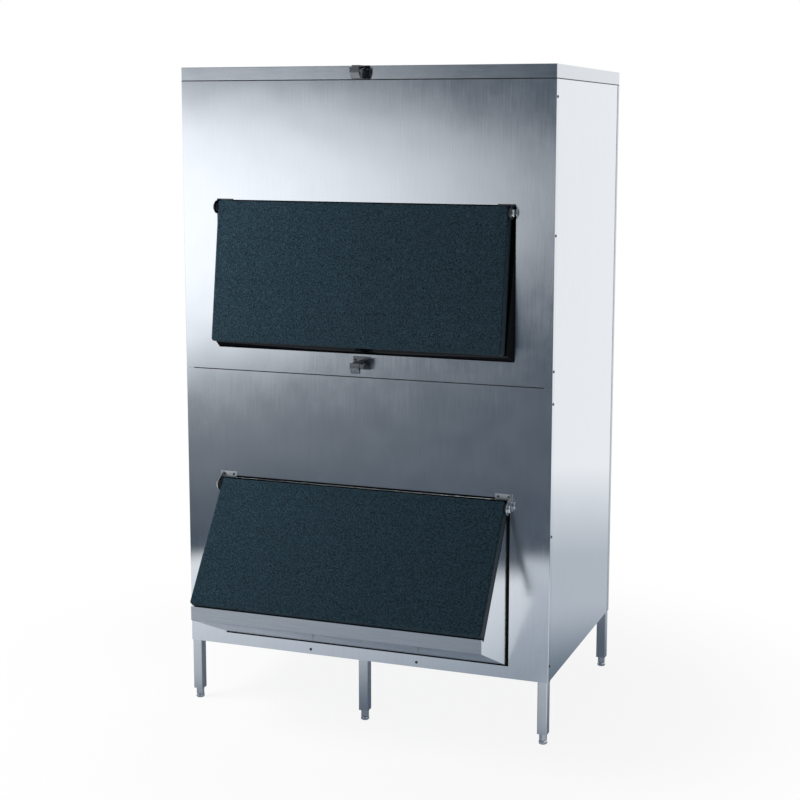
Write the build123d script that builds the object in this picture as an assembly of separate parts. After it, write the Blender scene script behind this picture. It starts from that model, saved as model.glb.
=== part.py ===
from build123d import *
import math
import os

# Upright ice storage bin on legs, in millimetres. While it is built, X is 0 in the middle of the bin,
# Y is 0 on the face of the front panels and grows towards the back, and Z is 0 on the floor.
# The pieces are written moved along Y, so that the origin is under the middle of the whole bin.

# Cabinet
bin_width = 1219.2
bin_depth = 800.0
floor_clearance = 201.0
body_height = 1821.0
top_cover_height = 42.0
skin_gauge = 1.2
liner_gauge = 3.0
foam_thickness = 50.0
front_return = 28.0
back_return = 20.0
seam_gap = 3.0
seam_below_catch = 25.0
seam_end_margin = 27.0
seal_recess = 0.4
lid_seal_width = 18.0
fit_gap = 0.3
running_gap = 0.05

# Stand
tube_size = 31.75
tube_wall = 2.0
tube_end_height = 34.0
foot_base_radius = 13.5
foot_base_height = 12.0
foot_base_round = 4.0
foot_neck_radius = 11.0
foot_stem_radius = 6.0
foot_stem_length = 55.0
insert_length = 30.0

# Ice drop opening in the top cover
drop_width = 760.0
drop_depth = 400.0
drop_back_margin = 160.0

# Doors, each measured from its hinge axis: up along the door, and back through it
door_side_margin = 134.1
door_thickness = 35.0
door_above_axis = 20.0
door_ahead_of_axis = 10.0
door_wall = 4.0
door_corner_radius = 9.0
door_edge_radius = 6.0
door_back_chamfer = 14.0
seat_gap = 4.0
gasket_width = 10.0
gasket_inset = 3.5
gasket_top_drop = 8.0

# Upper door and its moulded frame
upper_axis_setback = -18.0
upper_tilt = 8.3
upper_sill_gap = 29.0
upper_head_gap = 2.5
upper_side_gap = 15.5
upper_frame_side = 30.0
upper_frame_sill = 42.0
upper_frame_head = 46.0
upper_frame_draft = 11.0
upper_frame_lip = 1.5

# Lower door and its moulded frame
lower_axis_setback = -26.0
lower_tilt = 34.6
lower_door_length = 425.5
lower_opening_height = 529.0
lower_sill_margin = 6.0
lower_head_gap = 6.0
lower_side_gap = 6.5
lower_frame_wall = 6.0
lower_frame_sill = 2.5

# Hopper under the lower door
hopper_gauge = 1.5
hopper_lip_height = 44.0
hopper_lip_gap = 4.0
hopper_tail = 20.0
hopper_flange = 18.0
hopper_header_drop = 30.0
hopper_seat_height = 20.0

# Hinge brackets, bushings and bolts
bracket_gauge = 2.5
bracket_width = 55.0
upper_bracket_height = 8.0
lower_bracket_height = 22.0
bracket_lap = 2.5
bracket_overhang = 5.5
bracket_screw_spacing = 32.0
bracket_screw_edge = 12.5
bracket_screw_drop = 9.0
ear_clearance = 6.5
ear_radius = 20.0
bolt_radius = 6.0
bolt_head_radius = 12.0
bolt_head_height = 7.0
bolt_reach = 30.0
bushing_radius = 8.0
bushing_collar_radius = 13.0

# Hold-open catches above the doors
catch_plate_width = 58.0
catch_plate_height = 41.0
catch_plate_gauge = 2.0
catch_rivet_spacing = 42.0
catch_rivet_rise = 29.0
catch_pin_radius = 2.0
catch_pin_rise = 4.5
catch_pin_ahead = 9.5
catch_ear_gauge = 2.0
catch_ear_radius = 4.0
catch_eye_radius = 3.9
catch_spring_radius = 4.2
catch_spring_half = 7.5
catch_strip_gauge = 2.0
catch_hook_half = 12.0
catch_tab_half = 15.0
catch_ramp_out = 11.0
catch_ramp_rise = 18.0
catch_clearance = 0.7
upper_catch_lift = 0.0
upper_catch_drop = 28.0
upper_catch_tab = 15.0
lower_catch_lift = 6.0
lower_catch_drop = 22.0
lower_catch_tab = 16.0
upper_opening_above_catch = 37.5

# Sliding ice gate behind the lower door
gate_height = 330.0
gate_thickness = 8.0
gate_travel = 300.0
gate_side_overlap = 17.0
gate_slack = 1.0
channel_inset = 3.0
channel_wall = 4.0
channel_extra = 10.0
handle_height = 143.0
handle_length = 200.0
handle_radius = 8.0
handle_reach = 34.0
handle_post_radius = 6.0
handle_post_inset = 15.0

# Fasteners
screw_head_radius = 4.5
screw_head_height = 2.2
screw_shank_radius = 2.0
rivet_head_radius = 3.6
front_screw_spacing = 362.0
side_screw_setback = 12.0
side_screw_end_margin = 51.0
side_screw_seam_margin = 49.0

# Drain
drain_x = 150.0
drain_back_margin = 150.0
drain_radius = 16.7
drain_bore_radius = 13.0
drain_spigot_radius = 16.0
drain_spigot_length = 25.0
drain_thread_end = 2.0
drain_flange_radius = 32.0
drain_flange_height = 4.0
drain_nut_radius = 26.0
drain_nut_height = 9.0
strainer_radius = 28.0
strainer_height = 2.0
strainer_hole_radius = 3.0
strainer_hole_circle = 8.0
strainer_hole_count = 6

# Places of the cabinet, worked out from the sizes above
half_width = bin_width / 2
skin_half = half_width - skin_gauge
inner_half = skin_half - skin_gauge
inner_front = skin_gauge
inner_back = bin_depth - skin_gauge
cavity_half = inner_half - foam_thickness
cavity_front = inner_front + foam_thickness
cavity_back = inner_back - foam_thickness
seam_height = floor_clearance + body_height
body_top = seam_height - seam_gap / 2
cover_low = seam_height + seam_gap / 2
cover_top = seam_height + top_cover_height
rail_top = floor_clearance + tube_size
floor_sheet_top = rail_top + skin_gauge
foam_top = body_top - liner_gauge
liner_floor_low = floor_sheet_top + foam_thickness
liner_floor = liner_floor_low + liner_gauge
liner_front = cavity_front + liner_gauge
leg_x = inner_half - tube_size / 2
leg_front_y = inner_front + tube_size / 2
leg_back_y = inner_back - tube_size / 2
drop_high = bin_depth - drop_back_margin
drop_low = drop_high - drop_depth
drain_y = bin_depth - drain_back_margin
drain_thread_low = rail_top - drain_nut_height - drain_thread_end
door_half = half_width - door_side_margin
door_back = door_thickness - door_ahead_of_axis
seat_back = door_back + seat_gap
ear_inner = door_half + ear_clearance
ear_outer = ear_inner + bracket_gauge
bracket_edge = ear_outer + bracket_overhang


def slab(x_low, x_high, y_low, y_high, z_low, z_high):
    """A block between two opposite corners."""
    middle = ((x_low + x_high) / 2, (y_low + y_high) / 2, (z_low + z_high) / 2)
    return Pos(*middle) * Box(x_high - x_low, y_high - y_low, z_high - z_low)


def wide_slab(half, y_low, y_high, z_low, z_high):
    """A block centred on X."""
    return slab(-half, half, y_low, y_high, z_low, z_high)


def prism(points, x_low, x_high):
    """A side outline, given as (y, z) points, carried along X."""
    outline = make_face(Polyline(*points, close=True))
    return extrude(Plane.YZ.offset(x_low) * outline, amount=x_high - x_low)


def rod(radius, x_low, x_high, y, z):
    """A round bar along X."""
    return Pos((x_low + x_high) / 2, y, z) * Rot(0, 90, 0) * Cylinder(radius, x_high - x_low)


def bar(radius, x, y_low, y_high, z):
    """A round bar along Y."""
    return Pos(x, (y_low + y_high) / 2, z) * Rot(90, 0, 0) * Cylinder(radius, y_high - y_low)


def post(radius, x, y, z_low, z_high):
    """A round bar along Z."""
    return Pos(x, y, (z_low + z_high) / 2) * Cylinder(radius, z_high - z_low)


def both_sides(shape):
    """A piece and its mirror image across the middle of the bin."""
    return [shape, mirror(shape, about=Plane.YZ)]


def group(shapes):
    """Separate solids that share one name."""
    return Compound([solid for shape in shapes for solid in shape.solids()])


def cut(shape, tools):
    """The shape with each of the tools taken out of it."""
    for tool in tools:
        shape -= tool
    return shape


def beside(points, distance):
    """The same bent line, moved to its left by the distance, with mitred corners."""
    moved = []
    for i, (y, z) in enumerate(points):
        runs = [points[max(k - 1, 0):k + 1] for k in (i, i + 1)]
        turns = [math.atan2(b[1] - a[1], b[0] - a[0]) for a, b in (r for r in runs if len(r) == 2)]
        bend = (turns[-1] - turns[0] + math.pi) % (2 * math.pi) - math.pi
        normal = turns[0] + bend / 2 + math.pi / 2
        reach = distance / math.cos(bend / 2)
        moved.append((y + reach * math.cos(normal), z + reach * math.sin(normal)))
    return moved


def bent_sheet(points, gauge, x_low, x_high):
    """A folded sheet: its bent line in (y, z), thickened to the left of its run."""
    return prism(points + beside(points, gauge)[::-1], x_low, x_high)


class Door:
    """One top-hung door: its hinge axis, its lean when shut, its hang below the axis, its brackets."""

    def __init__(self, axis_y, axis_z, tilt, below_axis, bracket_height):
        self.axis_y = axis_y
        self.axis_z = axis_z
        self.tilt = tilt
        self.below_axis = below_axis
        self.bracket_height = bracket_height
        self.open_top = axis_z + below_axis
        self.open_face = axis_y - door_back

    def place(self, shape):
        """Puts a shape made round the hinge axis, with the door upright, where the shut door is."""
        return Pos(0, self.axis_y, self.axis_z) * Rot(-self.tilt, 0, 0) * shape

    def point(self, back, up):
        """The (y, z) place of a point given back through the door and up along it."""
        lean = math.radians(self.tilt)
        y = self.axis_y + up * math.sin(lean) + back * math.cos(lean)
        z = self.axis_z + up * math.cos(lean) - back * math.sin(lean)
        return (y, z)

    def rise_to(self, back, y):
        """How far up along the door a line through it at this depth reaches the given y."""
        lean = math.radians(self.tilt)
        return (y - self.axis_y - back * math.cos(lean)) / math.sin(lean)

    def block(self, inset):
        """The door's outer form, drawn in on every side by inset."""
        front = inset - door_ahead_of_axis
        back = door_back - inset
        low = inset - self.below_axis
        high = door_above_axis - inset
        slope = door_back_chamfer - inset * (2 - math.sqrt(2))
        side = [(front, low), (front, high), (back - slope, high), (back, high - slope), (back, low)]
        half = door_half - inset
        outline = RectangleRounded(2 * half, high - low, door_corner_radius - inset)
        face = Pos(0, back, (low + high) / 2) * Rot(90, 0, 0) * outline
        solid = prism(side, -half, half) & extrude(face, amount=back - front)
        edges = solid.edges().filter_by_position(Axis.Y, front - running_gap, front + running_gap)
        return fillet(edges, door_edge_radius - inset)

    def mouth(self, inset, y_low, y_high):
        """A plate that fills the mouth in the back of the shell, drawn in by inset."""
        low = door_wall + inset - self.below_axis
        high = door_above_axis - door_back_chamfer - door_wall - inset
        half = door_half - door_wall - inset
        outline = RectangleRounded(2 * half, high - low, door_corner_radius - door_wall - inset)
        face = Pos(0, y_high, (low + high) / 2) * Rot(90, 0, 0) * outline
        return extrude(face, amount=y_high - y_low)

    def bolt_holes(self, extra):
        """The two holes that the hinge bolts run into."""
        start = door_half - bolt_reach - fit_gap
        return both_sides(rod(bolt_radius + extra, start, door_half + fit_gap, 0, 0))

    def shell(self):
        """The moulded skin: outer face, four sides and the slope along the back of the top edge."""
        opening = self.mouth(0, door_back - 2 * door_wall, door_back)
        skin = cut(self.block(0), [self.block(door_wall), opening])
        return self.place(cut(skin, self.bolt_holes(running_gap)))

    def core(self):
        """The foam that fills the door."""
        filling = self.block(door_wall + fit_gap / 2)
        return self.place(cut(filling, self.bolt_holes(fit_gap)))

    def liner(self):
        """The plate that closes the back of the door."""
        return self.place(self.mouth(fit_gap, door_back - door_wall, door_back))

    def gasket(self):
        """The soft seal that the shut door presses on."""
        low = gasket_inset - self.below_axis
        high = -gasket_top_drop
        half = door_half - gasket_inset
        front = door_back + fit_gap
        outer = wide_slab(half, front, seat_back, low, high)
        inner = wide_slab(half - gasket_width, front, seat_back, low + gasket_width, high - gasket_width)
        return self.place(outer - inner)

    def bolts(self):
        """The two hinge bolts, one from each side."""
        head_low = ear_outer + fit_gap
        head_high = head_low + bolt_head_height
        shank = rod(bolt_radius, door_half - bolt_reach, head_low, 0, 0)
        head = rod(bolt_head_radius, head_low, head_high, 0, 0)
        rim = head.edges().filter_by_position(Axis.X, head_high - fit_gap, head_high + fit_gap)
        bolt = shank + fillet(rim, bolt_head_height / 3)
        return self.place(group(both_sides(bolt)))

    def bracket_low(self):
        """The lower edge of the hinge brackets, over the sweep of the door's top edge."""
        return self.axis_z + door_above_axis - bracket_lap

    def bracket_screw_places(self):
        """The (x, z) places of the screws of the two hinge brackets."""
        z = self.bracket_low() + self.bracket_height - bracket_screw_drop
        outer = bracket_edge - bracket_screw_edge
        steps = [outer - step for step in (0, bracket_screw_spacing)]
        return [(side * x, z) for side in (1, -1) for x in steps]

    def bracket(self):
        """The right hinge bracket: a plate on the panel and a round ear beside the door."""
        z_low = self.bracket_low()
        z_high = z_low + self.bracket_height
        plate = slab(bracket_edge - bracket_width, bracket_edge, -bracket_gauge, 0, z_low, z_high)
        outline = [(self.axis_y, self.axis_z)]
        for z, side in ((z_low, -1), (z_high, 1)):
            away = math.atan2(z - self.axis_z, -self.axis_y)
            spread = math.acos(ear_radius / math.hypot(self.axis_y, z - self.axis_z))
            angle = away + side * spread
            touch_y = self.axis_y + ear_radius * math.cos(angle)
            touch = (touch_y, self.axis_z + ear_radius * math.sin(angle))
            outline += [touch, (0, z)] if side < 0 else [(0, z), touch]
        arm = prism(outline, ear_inner, ear_outer)
        ear = rod(ear_radius, ear_inner, ear_outer, self.axis_y, self.axis_z)
        hole = rod(bushing_radius + running_gap, ear_inner, ear_outer, self.axis_y, self.axis_z)
        return plate + arm + ear - hole

    def bushing(self):
        """The right hinge bushing: a collar between door and ear, and a sleeve in the ear."""
        collar_low = door_half + fit_gap
        collar = rod(bushing_collar_radius, collar_low, ear_inner, self.axis_y, self.axis_z)
        sleeve = rod(bushing_radius, ear_inner, ear_outer, self.axis_y, self.axis_z)
        bore = rod(bolt_radius + running_gap, collar_low, ear_outer, self.axis_y, self.axis_z)
        return collar + sleeve - bore


class Catch:
    """One sprung hook that holds a door open against the front of the bin."""

    def __init__(self, door, lift, drop, tab):
        self.door = door
        self.low = door.open_top + lift - drop
        self.tab = tab
        self.pin_z = door.open_top + lift + catch_pin_rise
        self.plate_high = min(self.pin_z + catch_plate_height / 2, cover_top)
        self.plate_low = self.plate_high - catch_plate_height

    def pin_bar(self, radius, x_low, x_high):
        """A round bar on the axis of the pin."""
        return rod(radius, x_low, x_high, -catch_pin_ahead, self.pin_z)

    def rivet_places(self):
        """The (x, z) places of the two rivets."""
        z = self.plate_low + catch_rivet_rise
        return [(side * catch_rivet_spacing / 2, z) for side in (1, -1)]

    def plate(self):
        """The plate on the bin, with a pair of ears for the pin."""
        ear_low = catch_hook_half + 2 * fit_gap
        ear_high = ear_low + catch_ear_gauge
        root_low = self.pin_z - catch_ear_radius
        root_high = self.pin_z + catch_ear_radius
        ear = self.pin_bar(catch_ear_radius, ear_low, ear_high)
        ear += slab(ear_low, ear_high, -catch_pin_ahead, 0, root_low, root_high)
        plate = wide_slab(catch_plate_width / 2, -catch_plate_gauge, 0, self.plate_low, self.plate_high)
        for side in both_sides(ear):
            plate += side
        return plate - self.pin_bar(catch_pin_radius + running_gap, -ear_high, ear_high)

    def pin(self):
        """The pin that the hook turns on."""
        half = catch_hook_half + catch_ear_gauge + 4 * fit_gap
        return self.pin_bar(catch_pin_radius, -half, half)

    def spring(self):
        """The spring on the pin, as a sleeve."""
        sleeve = self.pin_bar(catch_spring_radius, -catch_spring_half, catch_spring_half)
        return sleeve - self.pin_bar(catch_pin_radius + running_gap, -catch_spring_half, catch_spring_half)

    def hook(self):
        """The bent strip that the open door's edge lifts and that then drops in front of the door."""
        pin_y = -catch_pin_ahead
        arm_z = self.pin_z + catch_spring_radius + catch_clearance + catch_strip_gauge
        leg_y = self.door.open_face - catch_clearance - catch_strip_gauge
        leg_top = self.low + catch_ramp_rise
        tab_y = leg_y - catch_ramp_out
        leg_back = leg_y + catch_strip_gauge
        arm = [(pin_y, arm_z), (leg_y, arm_z), (leg_y, leg_top)]
        ramp = [(leg_y, self.low), (tab_y, leg_top), (tab_y, leg_top + self.tab)]
        hook = bent_sheet(arm, catch_strip_gauge, -catch_hook_half, catch_hook_half)
        hook += wide_slab(catch_tab_half, leg_y, leg_back, self.low, leg_top)
        hook += bent_sheet(ramp, -catch_strip_gauge, -catch_tab_half, catch_tab_half)
        eye_low = catch_spring_half + fit_gap
        eye = self.pin_bar(catch_eye_radius, eye_low, catch_hook_half)
        eye += slab(eye_low, catch_hook_half, pin_y - catch_eye_radius, pin_y, self.pin_z, arm_z)
        for side in both_sides(eye):
            hook += side
        return hook - self.pin_bar(catch_pin_radius + running_gap, -catch_hook_half, catch_hook_half)


# The lower opening and its door
lower_frame_half = door_half + lower_side_gap
lower_frame_low = floor_sheet_top + lower_sill_margin
lower_frame_high = lower_frame_low + lower_opening_height
lower_clear_half = lower_frame_half - lower_frame_wall
lower_clear_low = lower_frame_low + lower_frame_sill
lower_clear_high = lower_frame_high - lower_frame_wall
lower_axis_z = lower_frame_high - lower_head_gap - door_above_axis
lower_below_axis = lower_door_length - door_above_axis
lower_door = Door(lower_axis_setback, lower_axis_z, lower_tilt, lower_below_axis, lower_bracket_height)
lower_catch = Catch(lower_door, lower_catch_lift, lower_catch_drop, lower_catch_tab)

# The upper opening and its door, which fill the height between the lower catch and the top of the bin
upper_frame_low = lower_door.open_top + upper_opening_above_catch
upper_catch_height = catch_pin_rise + catch_spring_radius + catch_clearance + catch_strip_gauge + fit_gap
upper_open_top = cover_top - upper_catch_lift - upper_catch_height
upper_room = upper_open_top - upper_frame_low - upper_sill_gap
upper_below_axis = upper_room / (1 + math.cos(math.radians(upper_tilt)))
upper_axis_z = upper_open_top - upper_below_axis
upper_frame_high = upper_axis_z + door_above_axis + upper_head_gap
upper_frame_half = door_half + upper_side_gap
upper_clear_half = upper_frame_half - upper_frame_side
upper_clear_low = upper_frame_low + upper_frame_sill
upper_clear_high = upper_frame_high - upper_frame_head
upper_door = Door(upper_axis_setback, upper_axis_z, upper_tilt, upper_below_axis, upper_bracket_height)
upper_catch = Catch(upper_door, upper_catch_lift, upper_catch_drop, upper_catch_tab)

doors = [upper_door, lower_door]
catches = [upper_catch, lower_catch]
mid_seam_height = lower_catch.plate_low - seam_below_catch
seam_half = half_width - seam_end_margin

# The hopper: its slanted floor, lip and seat follow the foot of the shut lower door
hopper_half = lower_clear_half - hopper_gauge
hopper_low = lower_clear_low + fit_gap
lip_y, lip_high = lower_door.point(
    door_back - door_thickness / 2, -lower_door.below_axis - hopper_lip_gap
)
lip_low = lip_high - hopper_lip_height
seat_foot = -lower_door.below_axis - hopper_lip_gap
seat_head = seat_foot + hopper_seat_height
header_low = -hopper_header_drop
header_high = lower_door.rise_to(seat_back + hopper_gauge, hopper_tail)


def front_panel(z_low, z_high, hole_half, hole_low, hole_high):
    """One half of the front skin, folded back round both sides, with the hole for its door frame."""
    body = wide_slab(half_width, 0, front_return, z_low, z_high)
    inside = wide_slab(skin_half, skin_gauge, front_return, z_low, z_high)
    hole = wide_slab(hole_half, 0, skin_gauge, hole_low, hole_high)
    strip_low = mid_seam_height - seam_gap / 2
    strip = wide_slab(seam_half, 0, skin_gauge, strip_low, strip_low + seam_gap)
    return cut(body, [inside, hole, strip])


def upper_front_panel():
    """The upper half of the front skin."""
    half = upper_frame_half + fit_gap
    z_low = mid_seam_height + fit_gap
    panel = front_panel(z_low, body_top, half, upper_frame_low - fit_gap, upper_frame_high + fit_gap)
    return cut(panel, side_screw_holes() + rivet_holes(lower_catch))


def lower_front_panel():
    """The lower half of the front skin."""
    half = lower_frame_half + fit_gap
    z_high = mid_seam_height - fit_gap
    low = lower_frame_low - fit_gap
    panel = front_panel(floor_clearance, z_high, half, low, lower_frame_high + fit_gap)
    return cut(panel, side_screw_holes() + bracket_screw_holes() + front_screw_holes())


def side_panel():
    """The right side skin, tucked under the folds of the front and back panels."""
    panel = slab(inner_half, skin_half, inner_front, inner_back, floor_clearance, body_top)
    return cut(panel, side_screw_holes())


def back_panel():
    """The back skin, folded forward round both sides."""
    front = bin_depth - back_return
    body = wide_slab(half_width, front, bin_depth, floor_clearance, body_top)
    return body - wide_slab(skin_half, front, inner_back, floor_clearance, body_top)


def bottom_panel():
    """The sheet that lies on the rails of the stand."""
    sheet = wide_slab(inner_half, inner_front, inner_back, rail_top, floor_sheet_top)
    return sheet - drain_hole(rail_top, floor_sheet_top)


def side_foam():
    """The insulation of the two sides."""
    block = slab(cavity_half, inner_half, inner_front, inner_back, floor_sheet_top, foam_top)
    return group(both_sides(block))


def back_foam():
    """The insulation of the back."""
    return wide_slab(cavity_half, cavity_back, inner_back, floor_sheet_top, foam_top)


def floor_foam():
    """The insulation of the floor."""
    block = wide_slab(cavity_half, cavity_front, cavity_back, floor_sheet_top, liner_floor_low)
    return block - drain_hole(floor_sheet_top, liner_floor_low)


def front_foam():
    """The insulation of the front, as blocks round the two openings."""
    middle = (lower_frame_high + upper_frame_low) / 2
    blocks = []
    for half, low, high, z_low, z_high in (
        (upper_frame_half, upper_frame_low, upper_frame_high, middle, foam_top),
        (lower_frame_half, lower_frame_low, lower_frame_high, floor_sheet_top, middle),
    ):
        hole_half = half + fit_gap
        hole_low = low - fit_gap
        hole_high = high + fit_gap
        blocks += both_sides(slab(hole_half, cavity_half, inner_front, cavity_front, hole_low, hole_high))
        blocks.append(wide_slab(cavity_half, inner_front, cavity_front, hole_high, z_high))
        blocks.append(wide_slab(cavity_half, inner_front, cavity_front, z_low, hole_low))
    return group(blocks)


def inner_liner():
    """The moulded tub inside the insulation, with a rim over it and openings for the two doors."""
    tub = wide_slab(cavity_half, cavity_front, cavity_back, liner_floor_low, body_top)
    rim = wide_slab(inner_half, inner_front, inner_back, foam_top, body_top)
    inside_half = cavity_half - liner_gauge
    return cut(tub + rim, [
        wide_slab(inside_half, liner_front, cavity_back - liner_gauge, liner_floor, body_top),
        wide_slab(upper_clear_half, cavity_front, liner_front, upper_clear_low, upper_clear_high),
        wide_slab(lower_clear_half, cavity_front, liner_front, liner_floor, lower_clear_high),
        drain_hole(liner_floor_low, liner_floor),
    ])


def lid_gasket():
    """The soft strip between the body and the top cover."""
    outer_half = half_width - seal_recess
    outer = wide_slab(outer_half, seal_recess, bin_depth - seal_recess, body_top, cover_low)
    inner_reach = seal_recess + lid_seal_width
    inner_half_width = half_width - inner_reach
    return outer - wide_slab(inner_half_width, inner_reach, bin_depth - inner_reach, body_top, cover_low)


def seam_seal():
    """The dark strip in the seam between the two front panels."""
    low = mid_seam_height - seam_gap / 2
    return wide_slab(seam_half, seal_recess, skin_gauge, low, low + seam_gap)


def drop_hole(z_low, z_high):
    """The space under the ice machine, through the top cover."""
    return wide_slab(drop_width / 2, drop_low, drop_high, z_low, z_high)


def top_cover():
    """The skin of the top cover, with its folded edge and the drop opening."""
    pan = wide_slab(half_width, 0, bin_depth, cover_low, cover_top)
    inside = wide_slab(skin_half, skin_gauge, inner_back, cover_low, cover_top - skin_gauge)
    return cut(pan, [inside, drop_hole(cover_low, cover_top)] + rivet_holes(upper_catch))


def top_liner():
    """The plate that closes the underside of the top cover."""
    plate = wide_slab(skin_half, skin_gauge, inner_back, cover_low, cover_low + liner_gauge)
    return plate - drop_hole(cover_low, cover_low + liner_gauge)


def top_foam():
    """The insulation in the top cover, as four blocks round the drop opening."""
    low = cover_low + liner_gauge
    high = cover_top - skin_gauge
    side = slab(drop_width / 2, skin_half, drop_low, drop_high, low, high)
    front = wide_slab(skin_half, skin_gauge, drop_low, low, high)
    back = wide_slab(skin_half, drop_high, inner_back, low, high)
    return group(both_sides(side) + [front, back])


def drop_collar():
    """The plastic lining of the drop opening."""
    inside_half = drop_width / 2 - liner_gauge
    y_low = drop_low + liner_gauge
    inside = wide_slab(inside_half, y_low, drop_high - liner_gauge, cover_low, cover_top)
    return drop_hole(cover_low, cover_top) - inside


def upper_door_frame():
    """The moulded frame of the upper opening: it runs through the wall and leans out to the door's seat."""
    height = upper_frame_high - upper_frame_low
    tip_y, tip_low = upper_door.point(seat_back, -upper_door.below_axis)
    tip_low += upper_frame_lip
    tip_height = upper_frame_high - tip_low
    tip_width = 2 * (upper_frame_half - upper_frame_draft)
    root_place = Pos(0, 0, upper_frame_low + height / 2) * Rot(90, 0, 0)
    tip_place = Pos(0, tip_y, tip_low + tip_height / 2) * Rot(90, 0, 0)
    root = root_place * Rectangle(2 * upper_frame_half, height)
    tip = tip_place * Rectangle(tip_width, tip_height)
    body = wide_slab(upper_frame_half, 0, cavity_front, upper_frame_low, upper_frame_high)
    body += loft([root.face(), tip.face()], ruled=True)
    clear = wide_slab(upper_clear_half, tip_y, cavity_front, upper_clear_low, upper_clear_high)
    ahead = wide_slab(bin_width, seat_back - bin_width, seat_back, -bin_width, bin_width)
    return cut(body, [clear, upper_door.place(ahead)])


def lower_door_frame():
    """The dark moulding round the lower opening, which runs through the wall."""
    ring = wide_slab(lower_frame_half, 0, cavity_front, lower_frame_low, lower_frame_high)
    return ring - wide_slab(lower_clear_half, 0, cavity_front, lower_clear_low, lower_clear_high)


def hopper_line():
    """The bent line of the under sheet and lip, from inside the opening to the end of the door's seat."""
    line = [(hopper_tail, hopper_low), (0, hopper_low), (lip_y, lip_low), (lip_y, lip_high)]
    return line + [lower_door.point(seat_back, seat_foot), lower_door.point(seat_back, seat_head)]


def hopper_shell():
    """The folded sheet under the hopper, with its lip and the seat for the door's lower edge."""
    return bent_sheet(hopper_line(), -hopper_gauge, -hopper_half, hopper_half)


def hopper_wings():
    """The two sides of the hopper, each with a flange that the door's gasket seats on."""
    top = lower_door.point(seat_back, lower_door.rise_to(seat_back, hopper_tail))
    outline = hopper_line()[:5] + [top]
    wing = prism(outline, hopper_half, lower_clear_half)
    flange_low = seat_head + fit_gap
    flange_high = header_low - fit_gap
    seat_high = seat_back + hopper_gauge
    flange = slab(hopper_half - hopper_flange, hopper_half, seat_back, seat_high, flange_low, flange_high)
    return group(both_sides(wing + lower_door.place(flange)))


def hopper_header():
    """The strip between the wings that the top of the door's gasket seats on."""
    strip = wide_slab(hopper_half, seat_back, seat_back + hopper_gauge, header_low, header_high)
    return lower_door.place(strip)


def trough_line():
    """The bent line of the top of the inner floor, from the liner to the foot of the door's seat."""
    end = lower_door.point(seat_back + hopper_gauge + fit_gap, seat_foot)
    return [(cavity_front, liner_floor), (0, liner_floor), end]


def hopper_trough():
    """The inner floor of the hopper, which the ice slides down to."""
    return bent_sheet(trough_line(), hopper_gauge, fit_gap - hopper_half, hopper_half - fit_gap)


def hopper_foam():
    """The insulation between the two floors of the hopper."""
    step = hopper_gauge + fit_gap
    under = beside([(cavity_front, hopper_low)] + hopper_line()[1:4], -step)[:3]
    over = beside(trough_line(), step)
    nose = (under[2][0], over[2][1] - step)
    return prism(under + [nose] + over[::-1], fit_gap - hopper_half, hopper_half - fit_gap)


def bracket_screw_holes():
    """The holes for the screws of the lower door's brackets."""
    radius = screw_shank_radius + running_gap
    back = skin_gauge + fit_gap
    return [bar(radius, x, -bracket_gauge, back, z) for x, z in lower_door.bracket_screw_places()]


def hinge_brackets():
    """The angle brackets that carry the doors: a low welded pair above, and a screwed pair below."""
    holes = bracket_screw_holes()
    return group([cut(side, holes) for door in doors for side in both_sides(door.bracket())])


def hinge_bushings():
    """The four plastic bushings of the doors."""
    return group([side for door in doors for side in both_sides(door.bushing())])


def headed(radius, head_radius, head_height, x, seat, end, z):
    """A screw or rivet along Y, with its head ahead of the seat."""
    return bar(head_radius, x, seat - head_height, seat, z) + bar(radius, x, seat, end, z)


def hinge_screws():
    """The four screws of the lower door's brackets."""
    places = lower_door.bracket_screw_places()
    radius = screw_shank_radius
    head = (rivet_head_radius, screw_head_height)
    return group([headed(radius, *head, x, -bracket_gauge, skin_gauge, z) for x, z in places])


def rivet_holes(catch):
    """The holes for the rivets of one catch."""
    radius = screw_shank_radius + running_gap
    back = skin_gauge + fit_gap
    return [bar(radius, x, -catch_plate_gauge, back, z) for x, z in catch.rivet_places()]


def catch_plates():
    """The plates of the two catches."""
    return group([cut(catch.plate(), rivet_holes(catch)) for catch in catches])


def catch_pins():
    """The pins of the two catches."""
    return group([catch.pin() for catch in catches])


def catch_springs():
    """The springs of the two catches."""
    return group([catch.spring() for catch in catches])


def catch_rivets():
    """The four rivets of the two catches."""
    places = upper_catch.rivet_places() + lower_catch.rivet_places()
    radius = screw_shank_radius
    head = (rivet_head_radius, screw_head_height)
    return group([headed(radius, *head, x, -catch_plate_gauge, skin_gauge, z) for x, z in places])


def side_screw_heights():
    """How high the screws stand along the front edge of each side."""
    low = floor_clearance + side_screw_end_margin
    high = body_top - side_screw_end_margin
    under = mid_seam_height - side_screw_seam_margin
    over = mid_seam_height + side_screw_seam_margin
    return [low, (low + under) / 2, under, over, (over + high) / 2, high]


def side_screw_holes():
    """The holes for the screws down both sides."""
    radius = screw_shank_radius + running_gap
    holes = []
    for z in side_screw_heights():
        holes += both_sides(rod(radius, inner_half - fit_gap, half_width, side_screw_setback, z))
    return holes


def front_screw_holes():
    """The holes for the two screws in the strip under the hopper."""
    radius = screw_shank_radius + running_gap
    z = floor_clearance + tube_size / 2
    return both_sides(bar(radius, front_screw_spacing / 2, 0, skin_gauge + tube_wall, z))


def panel_screws():
    """The screws down both sides and in the strip under the hopper."""
    y = side_screw_setback
    z = floor_clearance + tube_size / 2
    head = (screw_head_radius, screw_head_height)
    end = skin_gauge + tube_wall
    front = headed(screw_shank_radius, *head, front_screw_spacing / 2, 0, end, z)
    screws = both_sides(front)
    for z in side_screw_heights():
        head = rod(screw_head_radius, half_width, half_width + screw_head_height, y, z)
        screws += both_sides(head + rod(screw_shank_radius, inner_half, half_width, y, z))
    return group(screws)


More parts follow.
